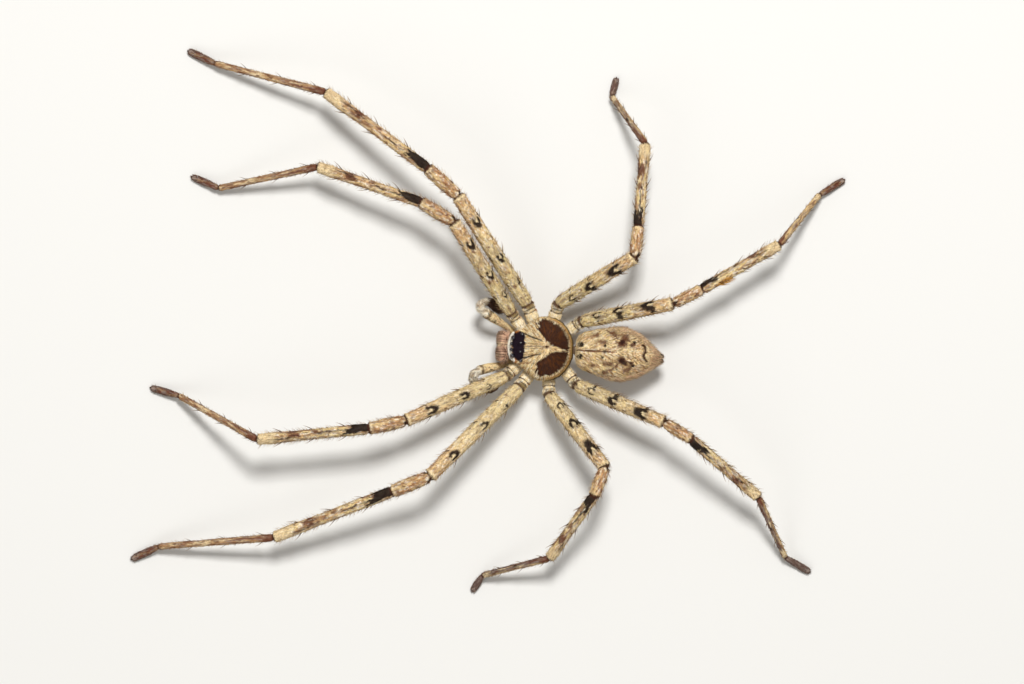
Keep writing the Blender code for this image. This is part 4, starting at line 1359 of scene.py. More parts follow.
def depth_inside(out, back, outline):
    """Distance to an outline, positive inside it."""
    inside = np.zeros(len(out), bool)
    for (x0, y0), (x1, y1) in zip(outline, outline[1:] + outline[:1]):
        crosses = (y0 > back) != (y1 > back)
        inside ^= crosses & (out < x0 + (back - y0) * (x1 - x0) / (y1 - y0 + 1e-12))
    gap = line_gap(out, back, outline + outline[:1])
    return np.where(inside, gap, -gap)


print("the eyes are", -depth_inside(np.zeros(1), np.zeros(1), EYE_FIELD).round(1)[0], "mm off the centre")

# %% [markdown]
# The head between the grooves is paler, with thin lines down it. The eyes stand in a black
# field, the rim behind is golden and orange with a dark edge, and the front corners are bare
# and orange. The white lip is painted under its hair, so that no dark skin shines through.

# %% Paint the shield
# Partly painted light: the body is a little lighter than the legs in life, and its cream is raised further
# to cancel the shade that its dense coat casts on itself.
BODY_CREAM_WITH_PAINTED_LIGHT = np.array(CREAM) * 1.24  # the body's coat is a little lighter than the legs'
MIDLINE = ((-0.18, -2.6), (-0.25, 0.55))
REAR_LINE = ((-0.25, 0.55), (-0.06, 2.83))
SIDE_LINE, SIDE_LINE_CENTRE = ((0.42, -2.6), (0.18, 0.1)), -0.2
LIP_LINE = ((-2.25, -4.40), (-1.20, -4.70), (-0.19, -4.82), (0.90, -4.66), (1.96, -4.10))
YELLOW_SPOT = (-1.54, -2.38)
BARE_CORNERS = ((-2.50, -4.05), (2.10, -4.10))


def rim_layers(out, back, speckle):
    edge, rear = depth_inside(out, back, SHIELD_OUTLINE), ramp(back, 0.2, 1.6)
    return (
        (PALE, ramp(edge, 0.85, 0.60) * rear * 0.6 * ramp(speckle, 0.35, 0.5)),
        (RIM_GOLD, ramp(edge, 0.48, 0.38) * rear * 0.9),
        (ORANGE, ramp(np.abs(edge - 0.40), 0.09, 0.03) * rear * 0.6),
        (BLACK_BROWN, ramp(edge, 0.24, 0.17) * rear * 0.85),
    )


def paint_shield(u, v, places):
    out, back, level = (places - (BODY_X, BODY_Y, 0)).T
    around, reach = np.arctan2(out - PIT[0], back - PIT[1]), np.hypot(out - PIT[0], back - PIT[1])
    rays = noise(np.c_[around * 16, reach * 1.3, reach * 0], 21)
    fine_rays = noise(np.c_[around * 38, reach * 2.2, reach * 0], 22)
    speckle = noise(places * 7, 23)
    ragged = (rays - 0.5) * 0.30 + (fine_rays - 0.5) * 0.42
    ragged = ragged * (0.30 + 0.70 * ramp(reach, 1.8, 3.4))
    patch = np.maximum(*(depth_inside(out, back, side) for side in (RIGHTWARD_PATCH, LEFTWARD_PATCH)))
    flecks = fleck(places, 4.5, 31, 0.16) * ramp(np.abs(patch + 0.35), 0.32, 0.1) * ramp(reach, 2.0, 2.8)
    grooves = [line_gap(out, back, line) + (speckle - 0.5) * 0.05 for line in HEAD_GROOVES]
    side_gap = line_gap(np.abs(out - SIDE_LINE_CENTRE), back, SIDE_LINE)
    eyes = depth_inside(out, back, EYE_FIELD) + (speckle - 0.5) * 0.25
    off_yellow = np.hypot(out - YELLOW_SPOT[0], back - YELLOW_SPOT[1])
    off_corners = [np.hypot(out - x, back - y) for x, y in BARE_CORNERS]
    lip = ramp(line_gap(out, back, LIP_LINE), 0.26, 0.18)
    lip = np.maximum(lip, ramp(level, 6.1, 5.9) * (v < FACE_ROWS))
    coat = lay(
        evenly(BODY_CREAM_WITH_PAINTED_LIGHT, len(u)),
        (PALE, ramp(rays, 0.45, 0.7) * 0.6 + ramp(-back, 0.5, 2.5) * 0.2),
        (WHITE, ramp(fine_rays, 0.44, 0.24) * 0.6),
        (PINK_TAN, ramp(fine_rays, 0.54, 0.72) * 0.65),
        (RED_BROWN, ramp(fine_rays, 0.70, 0.84) * 0.4),
        (RED_BROWN, ramp(speckle, 0.80, 0.9) * 0.4),
        (PATCH_BROWN, ramp(patch + ragged + 0.06, -0.06, 0.06) * 0.98),
        (ORANGE, ramp(patch, 0.15, 0.6) * ramp(fine_rays, 0.50, 0.80) * 0.22),
        (PATCH_BROWN, flecks * 0.85),
        *((BLACK_BROWN, ramp(gap, 0.16, 0.06) * 0.92) for gap in grooves),
        (RED_BROWN, ramp(line_gap(out, back, MIDLINE), 0.09, 0.02) * 0.75),
        (RED_BROWN, ramp(side_gap, 0.07, 0.02) * 0.5),
        (RED_BROWN, ramp(line_gap(out, back, REAR_LINE), 0.07, 0.02) * ramp(back, 2.6, 1.6) * 0.6),
        (PATCH_BROWN, ramp(reach, 0.34, 0.20)),
        (EYE_PATCH, ramp(eyes, -0.08, 0.06)),
        (RIM_GOLD, ramp(off_yellow, 0.34, 0.15) * 0.8),
        *((ORANGE, ramp(gap, 0.62, 0.35) * 0.9) for gap in off_corners),
        *rim_layers(out, back, speckle),
        (WHITE, lip * (back < -3.8) * (level > 5.45)),
        (MEMBRANE, ramp(level, 5.45, 5.38) * 0.8),
    )
    return np.clip(coat, 0, 1)


SHIELD_GRID = (120, 110)  # rows and columns
shield = skin_piece("shield_skin", shield_shape, *SHIELD_GRID, paint_shield, "carapace", "carapace")
print("shield points", len(shield.data.vertices))

# %% [markdown]
# Under the shield the front body is a shallow box of softer, orange-brown skin, to which the
# hips and jaws are joined. Little of it is seen, so it is one boxy tube that stands on end.

# %% Close the trunk under the shield
TRUNK_HALF_WIDTH, TRUNK_HALF_LENGTH = 2.1, 2.75
TRUNK_LOW, TRUNK_TOP = 3.65, 5.55
BOXY = 2.6


def trunk_shape(u, v):
    turn = 2 * np.pi * u
    rounding = np.sqrt(np.clip(1 - (2 * v - 1) ** 6, 0, 1))
    out = squared(np.sin(turn), BOXY) * TRUNK_HALF_WIDTH * rounding
    back = squared(np.cos(turn), BOXY) * TRUNK_HALF_LENGTH * rounding
    level = TRUNK_LOW + (TRUNK_TOP - TRUNK_LOW) * v
    return np.stack([BODY_X + out, BODY_Y + back, level], axis=1)


def paint_trunk(u, v, places):
    return lay(evenly(ORANGE, len(u)), (PINK_TAN, 0.3 + 0.7 * noise(places * 2.5, 41)))


skin_piece("trunk_skin", trunk_shape, 14, 60, paint_trunk, "carapace")
print("trunk", TRUNK_TOP - TRUNK_LOW, "mm deep")

# %% [markdown]
# ## Shield: coat
# The hairs on the shield lie outward from the pit, short on the face and longer at the sides.
# They leave the front corners and most of the golden rim bare.

# %% Grow the shield's coat
SHIELD_HAIRS = 11500


def coat_shield():
    def covered(u, v, place):
        out, back = place[:, 0] - BODY_X, place[:, 1] - BODY_Y
        bare = sum(ramp(np.hypot(out - x, back - y), 0.6, 0.4) for x, y in BARE_CORNERS)
        rim = ramp(depth_inside(out, back, SHIELD_OUTLINE), 0.48, 0.34) * (back > 0.8)
        return (1 - bare).clip(0.02) * (place[:, 2] > 5.4) * (1 - 0.93 * rim)

    rows, columns = SHIELD_GRID
    roots = sow(shield_shape, SHIELD_HAIRS, 101, covered, rows=rows, columns=columns)
    out, back = roots.place[:, 0] - BODY_X - PIT[0], roots.place[:, 1] - BODY_Y - PIT[1]
    lie = unit(np.stack([out, back, -0.3 * np.ones(len(out))], axis=1))
    lie = lie + roots.draw.normal(0, 0.16, lie.shape)
    face = ramp(-back, 2.4, 3.6)
    length = roots.draw.uniform(0.28, 0.52, roots.count) * (1 - 0.5 * face)
    lift = roots.draw.uniform(12, 30, roots.count)
    middle = roots.place + lie * length[:, None] * 0.4
    colours = varied(paint_shield(roots.u, roots.v, middle), roots.draw)
    return hair_piece("shield_coat", "carapace", roots, lie, (lift, 4), length, 0.075, colours)


print("shield", coat_shield(), "hairs")

# %% [markdown]
# A dense white fringe stands under the front eyes, like a moustache, and shows from above as
# one bright line. It has a thin white roll as its core, so that no gap opens between its hairs.

# %% Roll the white lip
LIP_ROLL = (  # out, back, level and half width
    (-2.12, -4.22, 6.02, 0.13), (-1.75, -4.53, 6.10, 0.14), (-1.00, -4.84, 6.18, 0.14),
    (-0.15, -4.96, 6.22, 0.14), (0.75, -4.86, 6.18, 0.14), (1.50, -4.58, 6.10, 0.14),
    (1.95, -4.22, 6.02, 0.13),
)
LIP_HAIRS = 2600


def on_line(stations, sign=1):
    """A line's stations on the body: each a place and a half width."""
    return [(*on_body(*place, sign), half) for *place, half in stations]


def paint_lip(u, v, places):
    return evenly(WHITE, len(u))


def coat_lip():
    def between_ends(u, v, place):
        return (v > 0.03) & (v < 0.97)

    roots = sow(lip_shape, LIP_HAIRS, 102, between_ends, rows=60, columns=20)
    lie = np.tile([0.0, -1.0, -0.25], (roots.count, 1)) + roots.draw.normal(0, 0.2, (roots.count, 3))
    white = np.array(WHITE) * roots.draw.uniform(0.9, 1.04, roots.count)[:, None]
    length = roots.draw.uniform(0.10, 0.19, roots.count)
    return hair_piece("lip_hair", "carapace", roots, lie, (38, 15), length, 0.060, white)


lip_shape = limb(*through(on_line(LIP_ROLL), 0.05, 10))
skin_piece("lip_skin", lip_shape, 60, 16, paint_lip, "carapace")
print("lip", coat_lip(), "hairs")

# %% [markdown]
# ## Eyes
# Eight small, glassy eyes in two rows, each a polished bead in a low dark socket. They keep
# the solids' places and sizes, read from their boxes, and get many more faces.

# %% Set the eyes
EYE_SIDES = 28
SOCKET_WIDTH, SOCKET_TOP, SOCKET_HEIGHT, SOCKET_DROP = 1.18, 1.04, 0.5, 0.28  # in eye radii
SOCKET_EDGE = 0.08
eyes = sorted(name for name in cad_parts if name.startswith("eye_"))
for name in eyes:
    low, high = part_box(name)
    centre, radius = (low + high) / 2, (high[0] - low[0]) / 2
    bm = bmesh.new()
    bmesh.ops.create_uvsphere(bm, u_segments=EYE_SIDES, v_segments=18, radius=radius)
    bmesh.ops.translate(bm, verts=bm.verts, vec=centre)
    finish(as_object(f"{name}_lens", bm), eye_finish, "eyes", name)
    bm = bmesh.new()
    bmesh.ops.create_cone(
        bm, cap_ends=True, segments=EYE_SIDES,
        radius1=radius * SOCKET_WIDTH, radius2=radius * SOCKET_TOP, depth=radius * SOCKET_HEIGHT,
    )
    bmesh.ops.bevel(
        bm, geom=bm.edges, offset=radius * SOCKET_EDGE, affect="EDGES", segments=2, profile=0.5,
        material=-1,
    )
    bmesh.ops.translate(bm, verts=bm.verts, vec=centre - Vector((0, 0, radius * SOCKET_DROP)))
    finish(as_object(f"{name}_socket", bm), horn_finish, "eyes")
print("eyes", len(eyes))

# %% [markdown]
# ## Sternum
# A heart-shaped plate between the coxae closes the underside, with the labium as its tongue.
# Its outline is a table of half widths, and its rows bulge only a little.

# %% Plate the underside
STERNUM_STATIONS = np.array([  # back and half width
    (-3.05, 0.26), (-2.60, 0.45), (-2.35, 0.42), (-2.15, 1.00), (-1.20, 1.62), (0.00, 1.76),
    (1.20, 1.42), (2.20, 0.72), (2.80, 0.22),
])
STERNUM_LEVEL, STERNUM_HALF_DEPTH = 3.125, 0.2
STERNUM_GRID = (60, 36)
LABIUM_SHARE = 0.16


def sternum_shape(u, v):
    back = STERNUM_STATIONS[0, 0] + (STERNUM_STATIONS[-1, 0] - STERNUM_STATIONS[0, 0]) * v
    half = np.interp(back, *STERNUM_STATIONS.T) * np.sqrt(np.clip(1 - (2 * v - 1) ** 20, 0, 1))
    turn = 2 * np.pi * u
    closing = np.sqrt(np.clip(1 - (2 * v - 1) ** 8, 0, 1))
    level = STERNUM_LEVEL + np.cos(turn) * STERNUM_HALF_DEPTH * closing
    return np.stack([BODY_X + np.sin(turn) * half, BODY_Y + back, level], axis=1)


def paint_sternum(u, v, places):
    return lay(
        evenly(CREAM, len(u)),
        (RED_BROWN, ramp(np.abs(places[:, 0] - BODY_X), 1.0, 1.8) * 0.5),
        (RED_BROWN, ramp(v, LABIUM_SHARE, 0.10) * 0.7),
        (PINK_TAN, ramp(noise(places * 4, 51), 0.45, 0.75) * 0.5),
    )


skin_piece("sternum_skin", sternum_shape, *STERNUM_GRID, paint_sternum, "sternum", "sternum")
print("sternum", 2 * STERNUM_STATIONS[:, 1].max(), "mm wide")

# %% [markdown]
# Short hair covers the plate's underside and leaves the labium bare. It stands up more loosely
# than the coat on top, because nothing presses it flat.

# %% Grow the sternum's short hair
STERNUM_HAIRS = 1800


def coat_sternum():
    def underneath(u, v, place):
        return (place[:, 2] < STERNUM_LEVEL) * (v > LABIUM_SHARE) * (v < 0.97)

    rows, columns = STERNUM_GRID
    roots = sow(sternum_shape, STERNUM_HAIRS, 105, underneath, rows=rows, columns=columns)
    colours = varied(paint_sternum(roots.u, roots.v, roots.place), roots.draw)
    length = roots.draw.uniform(0.22, 0.45, roots.count)
    lift = roots.draw.uniform(15, 45, roots.count)
    lie, lifts = sway(roots, 0.3), (lift, lift * 0.4)
    return hair_piece("sternum_coat", "sternum", roots, lie, lifts, length, 0.06, colours)


print("sternum", coat_sternum(), "hairs")

# %% [markdown]
# ## Abdomen
# A soft oval bag, broad in front and drawn to a point, hung on a thin stalk. Its stations are
# the solid's, softened. Small dimples mark where muscles pull the skin in, and a shallow groove
# runs down the middle over the heart.

# %% Shape the abdomen
ABDOMEN_STATIONS = np.array([  # back, sideways drift, half width, underside and top
    (3.05, 0.00, 0.42, 4.13, 4.97), (4.66, 0.00, 0.42, 4.13, 4.97), (4.78, -0.03, 1.25, 4.60, 6.20),
    (4.95, -0.02, 1.90, 4.20, 6.75), (5.60, 0.00, 2.65, 3.75, 7.35), (7.60, 0.05, 3.30, 3.30, 8.00),
    (9.90, 0.12, 3.75, 3.05, 8.40), (11.60, 0.14, 3.72, 3.00, 8.40), (13.40, 0.16, 3.05, 3.20, 7.95),
    (14.60, 0.20, 2.20, 3.60, 7.30), (15.60, 0.28, 1.35, 4.05, 6.55), (16.40, 0.38, 0.65, 4.50, 5.85),
])
STALK_ROWS = (0.0, 0.04, 0.055, 0.075)  # shares of the rows at the first four stations
ABDOMEN_FRONT, ABDOMEN_END = 0.10, 0.985
DIMPLES = (  # out, back and size
    (-0.97, 5.38, 0.34), (0.84, 5.34, 0.32), (-0.95, 8.87, 0.15), (0.75, 8.67, 0.15),
    (-1.53, 11.24, 0.30), (1.08, 11.30, 0.30), (-1.64, 13.05, 0.18), (1.68, 12.96, 0.18),
)
DIMPLE_DEPTH, HEART_GROOVE, HEART_WIDTH = 0.09, 0.05, 0.2
TIP_STRETCH = 0.12


def abdomen_shape(u, v):
    bag = ABDOMEN_STATIONS[len(STALK_ROWS):, 0]
    travelled = (bag - bag[0]) / (bag[-1] - bag[0])
    known = np.concatenate([STALK_ROWS, ABDOMEN_FRONT + (1 - ABDOMEN_FRONT) * travelled * ABDOMEN_END])
    dense = np.linspace(0, known[-1], 260)
    table = soften(refine(ABDOMEN_STATIONS, known, dense), 14)
    back, drift, half, low, high = (np.interp(v, dense, column) for column in table.T)
    closing = round_end((v - dense[-1]) / (1 - dense[-1]))
    back = back + TIP_STRETCH * (1 - closing)
    inset = COAT_DEPTH * ramp(v, 0.03, 0.10)
    half = (half - inset) * closing * (v > 0)
    rise = ((high - low) / 2 - inset) * closing * (v > 0)
    turn = 2 * np.pi * (u - 0.5)
    out, level = drift + np.sin(turn) * half, (low + high) / 2 + np.cos(turn) * rise
    roof = np.cos(turn) > 0
    for x, y, size in DIMPLES:
        level = level - roof * DIMPLE_DEPTH * np.exp(-(np.hypot(out - x, back - y) / size) ** 2)
    groove = roof * HEART_GROOVE * np.exp(-((out - drift) / HEART_WIDTH) ** 2)
    level = level - groove * ramp(back, 5.2, 6.0) * ramp(back, 11.0, 9.5)
    return np.stack([BODY_X + out, BODY_Y + back, level], axis=1)


# %% [markdown]
# The pattern is a line down the middle with pairs of dark spots beside it, two brown-purple
# blotches two thirds of the way back, and a wavy line before the tip. Fine dark strokes slant
# outward all over, and the flanks and tip turn pink where the longer hairs stand.

# %% Paint the abdomen
WAVY_LINE = ((-1.30, 14.25), (-1.05, 14.55), (-0.44, 14.68), (0.10, 14.40), (0.55, 14.55), (0.97, 14.90))
OBLIQUE_LINES = (
    ((-3.10, 9.04), (-2.55, 10.0), (-2.0, 10.71)),
    ((2.62, 9.79), (2.05, 10.4), (1.41, 10.92)),
)
SMEARS = (  # out, back, half width and half length
    (-2.2, 11.6, 0.60, 0.85), (2.9, 9.1, 0.40, 0.60), (2.4, 12.2, 0.50, 0.70), (-1.5, 8.5, 0.30, 0.80),
    (1.7, 9.4, 0.30, 0.80), (-2.4, 7.4, 0.30, 0.70), (-2.7, 9.9, 0.45, 0.60), (2.0, 7.3, 0.30, 0.55),
)
BLOTCHES = (
    (-1.50, 11.35, 0.75, 0.95), (1.15, 11.45, 0.75, 1.0),
    (-1.3, 12.6, 0.35, 0.4), (1.35, 12.7, 0.35, 0.4),
)
MIDDLE_DRIFT = -0.06
HEART_SPOT = (-0.1, 8.9)


def spot_layers(out, back, tug, fine, top):
    """The smears, dimples and blotches, each a soft spot with a ragged edge."""
    layers = []
    for x, y, wide, long in SMEARS:
        gap = np.hypot((out - x) / wide, (back - y) / long) + tug * 1.3 + (fine - 0.5) * 1.2
        layers.append((RED_BROWN, top * ramp(gap, 1.30, 0.40) * 0.85))
    for x, y, size in DIMPLES:
        gap = np.hypot((out - x) * 1.05, (back - y) * 0.85) + tug * 0.2
        layers.append((BLACK_BROWN, top * ramp(gap, size * 1.45, size * 1.0) * 0.97))
    for x, y, wide, long in BLOTCHES:
        gap = np.hypot((out - x) / wide, (back - y) / long) + tug * 1.1 + (fine - 0.5) * 0.7
        layers.append((RED_BROWN, top * ramp(gap, 1.05, 0.55) * 0.85))
        layers.append((BLACK_BROWN, top * ramp(gap, 0.60, 0.30) * 0.7))
    return layers


def line_layers(out, back, tug, top):
    middle = np.abs(out - MIDDLE_DRIFT) + tug * 0.06
    heart = np.hypot(out - HEART_SPOT[0], (back - HEART_SPOT[1]) * 0.6)
    oblique = [line_gap(out, back, line) + tug * 0.1 for line in OBLIQUE_LINES]
    wavy = line_gap(out, back, WAVY_LINE) + tug * 0.12
    return (
        (RED_BROWN, top * ramp(middle, 0.20, 0.08) * ramp(back, 10.8, 9.8)),
        (BLACK_BROWN, top * ramp(middle, 0.10, 0.04) * ramp(back, 9.4, 8.6) * 0.7),
        (BLACK_BROWN, top * ramp(heart, 0.30, 0.15) * 0.8),
        *((RED_BROWN, top * ramp(gap, 0.18, 0.06) * 0.9) for gap in oblique),
        (PALE, top * ramp(np.abs(wavy - 0.45), 0.30, 0.10) * ramp(back, 14.5, 14.9) * 0.6),
        (PATCH_BROWN, top * ramp(wavy, 0.23, 0.10) * 0.95),
    )


def paint_abdomen(u, v, places):
    out, back, level = (places - (BODY_X, BODY_Y, 0)).T
    tug = noise(places * 2.6, 61) - 0.5
    slant = out * np.sign(out) * 0.55 + back
    spread = np.abs(out) - back * 0.6
    strokes = noise(np.c_[spread * 5.5, slant * 1.1, np.sign(out)], 62)
    fine = noise(np.c_[spread * 11, slant * 2.4, np.sign(out)], 63)
    height = (level - 5.7) / 2.7
    flank = ramp(height, 0.15, -0.25)
    top = (level > 5.5).astype(float)
    coat = lay(
        evenly(BODY_CREAM_WITH_PAINTED_LIGHT, len(u)),
        (PALE, ramp(noise(places * 1.4, 64), 0.42, 0.65) * 0.5),
        (PINK_TAN, ramp(strokes, 0.48, 0.68) * 0.60),
        (WHITE, ramp(fine, 0.44, 0.25) * 0.55),
        (RED_BROWN, ramp(fine, 0.60, 0.74) * (0.50 + 0.25 * ramp(back, 7, 11))),
        (PINK, flank * 0.45),
        (RED_BROWN, flank * ramp(strokes, 0.52, 0.75) * 0.5 + ramp(height, -0.2, -0.7) * 0.2),
        (PINK, ramp(back, 11.5, 14.5) * 0.15),
        *spot_layers(out, back, tug, fine, top),
        *line_layers(out, back, tug, top),
        (RED_BROWN, ramp(back, 15.5, 16.5) * 0.6),
        (MEMBRANE, ramp(back, 4.75, 4.6) * 0.8),
    )
    return np.clip(coat, 0, 1)


ABDOMEN_GRID = (150, 96)  # rows and columns
skin_piece("abdomen_skin", abdomen_shape, *ABDOMEN_GRID, paint_abdomen, "abdomen", "abdomen")
print("abdomen", 2 * ABDOMEN_STATIONS[:, 2].max(), "mm wide")

# %% [markdown]
# ## Abdomen: coat
# The coat lies back and a little outward, and is thin along the middle line, so that the line
# stays sharp. The hairs read the painted colour at their middles, as on the legs.

# %% Grow the abdomen's coat
ABDOMEN_HAIRS = 16500
OUTWARD_LIE = 0.35


def sow_abdomen(count, seed, wanted):
    return sow(abdomen_shape, count, seed, wanted, *ABDOMEN_GRID)


def coat_abdomen():
    def covered(u, v, place):
        behind, below = place[:, 1] - BODY_Y > 10.2, place[:, 2] < 6
        off_line = np.abs(place[:, 0] - BODY_X - MIDDLE_DRIFT) + 9 * behind + 9 * below
        return (v > 0.045) * (0.25 + 0.75 * ramp(off_line, 0.03, 0.16))

    roots = sow_abdomen(ABDOMEN_HAIRS, 111, covered)
    length = roots.draw.uniform(0.30, 0.55, roots.count)
    lift = roots.draw.uniform(12, 32, roots.count)
    outward = np.sign(roots.place[:, 0] - BODY_X)[:, None] * np.array([OUTWARD_LIE, 0.0, 0.0])
    lie = sway(roots, 0.15) + outward
    middle = roots.place + lie * length[:, None] * 0.4
    colours = varied(paint_abdomen(roots.u, roots.v, middle), roots.draw)
    return hair_piece("abdomen_coat", "abdomen", roots, lie, (lift, 4), length, 0.080, colours)


print("abdomen", coat_abdomen(), "hairs")

# %% [markdown]
# Longer, pinkish and pale hairs stand out round the edge and past the tip, and blur the outline
# from above. A small ruff stands where the abdomen meets the shield.

# %% Stand long hair round the edge
EDGE_HAIRS = 4600
FRONT_HAIRS = 500


def edge_abdomen():
    def edges(u, v, place):
        at_side = np.abs(np.abs(u - 0.5) - 0.27) < 0.11
        return at_side * ramp(v, 0.20, 0.70) + 2.0 * ramp(v, 0.86, 0.97)

    roots = sow_abdomen(EDGE_HAIRS, 112, edges)
    tail = ramp(roots.place[:, 1] - BODY_Y, 11.5, 15.5) * (0.5 + 0.5 * (roots.place[:, 0] > BODY_X))
    length = roots.draw.uniform(0.45, 1.10, roots.count) + tail * roots.draw.uniform(0, 0.7, roots.count)
    tone = roots.draw.random(roots.count)
    colours = lay(
        evenly(np.array(PINK) * 1.15, roots.count),
        (PALE, ramp(tone, 0.25, 0.65) * 0.85),
        (RED_BROWN, ramp(tone, 0.20, 0.05) * 0.8),
    )
    lift = roots.draw.uniform(30, 68, roots.count)
    lie, lifts = sway(roots, 0.2), (lift, lift * 0.5)
    return hair_piece("abdomen_long_hair", "abdomen", roots, lie, lifts, length, 0.062, colours)


def ruff_abdomen():
    def front(u, v, place):
        return (v > 0.050) * (v < 0.09) * (place[:, 2] > 5.2)

    roots = sow_abdomen(FRONT_HAIRS, 113, front)
    lie = np.tile([0.0, -0.7, 0.9], (roots.count, 1)) + roots.draw.normal(0, 0.3, (roots.count, 3))
    length = roots.draw.uniform(0.35, 0.65, roots.count)
    colours = varied(evenly(PALE, roots.count), roots.draw)
    return hair_piece("abdomen_front_hair", "abdomen", roots, lie, (48, 30), length, 0.05, colours)


print("edge", edge_abdomen(), "ruff", ruff_abdomen(), "hairs")

# %% [markdown]
# ## Spinnerets
# Four short fingers at the tail that lay the silk, dark and hairy. Each is a stubby limb. Soft
# parts like these have no markings, so one helper paints them in two blotchy colours.

# %% Add the spinnerets
SPINNERET_ROOT = (0.42, 16.62, 4.95)
SPINNERET_LENGTH, SPINNERET_HALF_WIDTH, SPINNERET_TIP = 0.84, 0.29, 0.16
SPINNERET_SPREAD = 0.22
SPINNERET_GRID = (24, 20)
SPINNERET_HAIRS = 420


def blotchy(colour, other, seed):
    """A painter for a soft part with blotches of another colour."""
    def painter(u, v, places):
        return lay(evenly(colour, len(u)), (other, ramp(noise(places * 5, seed), 0.4, 0.7) * 0.6))

    return painter


def spinneret_shape(side, high):
    start = on_body(*SPINNERET_ROOT) + np.array([side, -1.2, high]) * SPINNERET_SPREAD
    way = unit(np.array([side * 0.2, 1.0, high * 0.1]))
    reaches = (0.0, 0.55 * SPINNERET_LENGTH, SPINNERET_LENGTH)
    halves = (SPINNERET_HALF_WIDTH, SPINNERET_HALF_WIDTH, SPINNERET_TIP)
    stations = [(*(start + way * reach), half) for reach, half in zip(reaches, halves)]
    return limb(*through(stations, 0.05, 2))


def coat_spinneret(number, shape):
    roots = sow(shape, SPINNERET_HAIRS, 120 + number, None, *SPINNERET_GRID)
    tone = roots.draw.random(roots.count) ** 2
    colours = paint(paint_spinneret(roots.u, roots.v, roots.place), GREY, tone)
    colours = varied(colours, roots.draw)
    name, lie = f"spinneret_{number}_hair", sway(roots, 0.3)
    return hair_piece(name, "spinnerets", roots, lie, (38, 15), 0.36, 0.05, colours)


paint_spinneret = blotchy(EYE_PATCH, RED_BROWN, 71)
for number, (side, high) in enumerate(((-1, -1), (1, -1), (-1, 1), (1, 1))):
    shape = spinneret_shape(side, high)
    nodes = ("spinnerets",) if number == 0 else ()
    skin_piece(f"spinneret_{number}", shape, *SPINNERET_GRID, paint_spinneret, "spinnerets", *nodes)
    print("spinneret", number, coat_spinneret(number, shape), "hairs")

# %% [markdown]
# ## Jaws
# Two stout chelicerae hang from the face like a pair of short boots, and each folds one curved
# fang against the other's. Seen from above, only the hairy tops show. A boot is a boxy tube that
# hangs down, and a fang is a bent limb that thins to a point.

# %% Hang the chelicerae and fangs
CHELICERA_OUT = 1.06
CHELICERA_STATIONS = np.array([  # back, level, half width, half depth
    (-5.45, 6.15, 0.50, 0.28), (-5.62, 5.90, 0.78, 0.58), (-5.86, 5.20, 0.90, 0.84),
    (-5.88, 4.00, 0.89, 0.86), (-5.72, 3.00, 0.76, 0.74), (-5.60, 2.35, 0.58, 0.56),
    (-5.56, 2.10, 0.42, 0.38),
])
CHELICERA_COAT = 0.06  # the skin lies this far inside the solid
END_SHARE = 0.04  # the share of the rows that rounds each end
FANG_STATIONS = (  # out, back, level and half width
    (1.12, -5.84, 1.98, 0.27), (1.08, -5.72, 1.45, 0.25), (0.92, -5.30, 1.15, 0.20),
    (0.68, -4.82, 1.05, 0.15), (0.42, -4.40, 1.12, 0.05),
)
SIDES = (("R", -1), ("L", 1))


def chelicera_shape(sign):
    def shape(u, v):
        share = np.clip((v - END_SHARE) / (1 - 2 * END_SHARE), 0, 1)
        dense = np.linspace(0, 1, 60)
        steps = np.linspace(0, 1, len(CHELICERA_STATIONS))
        table = soften(refine(CHELICERA_STATIONS, steps, dense), 5)
        back, level, half, depth = (np.interp(share, dense, column) for column in table.T)
        closing = round_end(1 - np.minimum(v, 1 - v) / END_SHARE)
        turn = 2 * np.pi * u
        out = squared(np.sin(turn), BOXY) * (half - CHELICERA_COAT) * closing
        fore = squared(np.cos(turn), BOXY) * (depth - CHELICERA_COAT) * closing
        return np.stack([BODY_X + sign * CHELICERA_OUT + out, BODY_Y + back + fore, level], axis=1)

    return shape


def paint_chelicera(u, v, places):
    return lay(
        evenly(PINK, len(u)),
        (RED_BROWN, ramp(noise(places * (6, 6, 1.5), 81), 0.45, 0.75) * 0.7),
        (BLACK_BROWN, ramp(v, 0.60, 0.95) * 0.75),
    )


for letter, sign in SIDES:
    name, shape = f"chelicera_{letter}", chelicera_shape(sign)
    skin_piece(f"{name}_skin", shape, 44, 40, paint_chelicera, "chelicerae", name)
    fang = roll(f"fang_{letter}_hook", limb(*through(on_line(FANG_STATIONS, sign), 0.06, 8)), 48, 20)
    finish(fang, horn_finish, "fangs", f"fang_{letter}")
print("jaws and fangs", len(SIDES))

# %% [markdown]
# The jaws' hair is long and straight, and hangs together in dark and pinkish strands side by
# side. So a hair takes its tone from the strand that it lies in, nearly the same for all of one
# strand. On top the hairs run forward to one even edge, and lower down they hang.

# %% Grow the jaws' hair in strands
CHELICERA_HAIRS = 3000
STRAND_WIDTH = 0.17
STRANDS = 60
STRAND_TONES = np.tile((0.34, 0.70), STRANDS // 2)
STRAND_TONES += np.random.default_rng(83).uniform(-0.24, 0.24, STRANDS)
JAW_PINK = (0.78, 0.50, 0.34)
JAW_EDGE = -6.72  # how far forward the hair reaches


def strand_tone(out, draw):
    """From 0 to 1: nearly alike within a strand of hair, and different in the next."""
    strand = np.floor(out / STRAND_WIDTH + 20 + draw.normal(0, 0.12, len(out))).astype(int)
    return np.clip(STRAND_TONES[strand % STRANDS] + draw.normal(0, 0.07, len(out)), 0, 1)


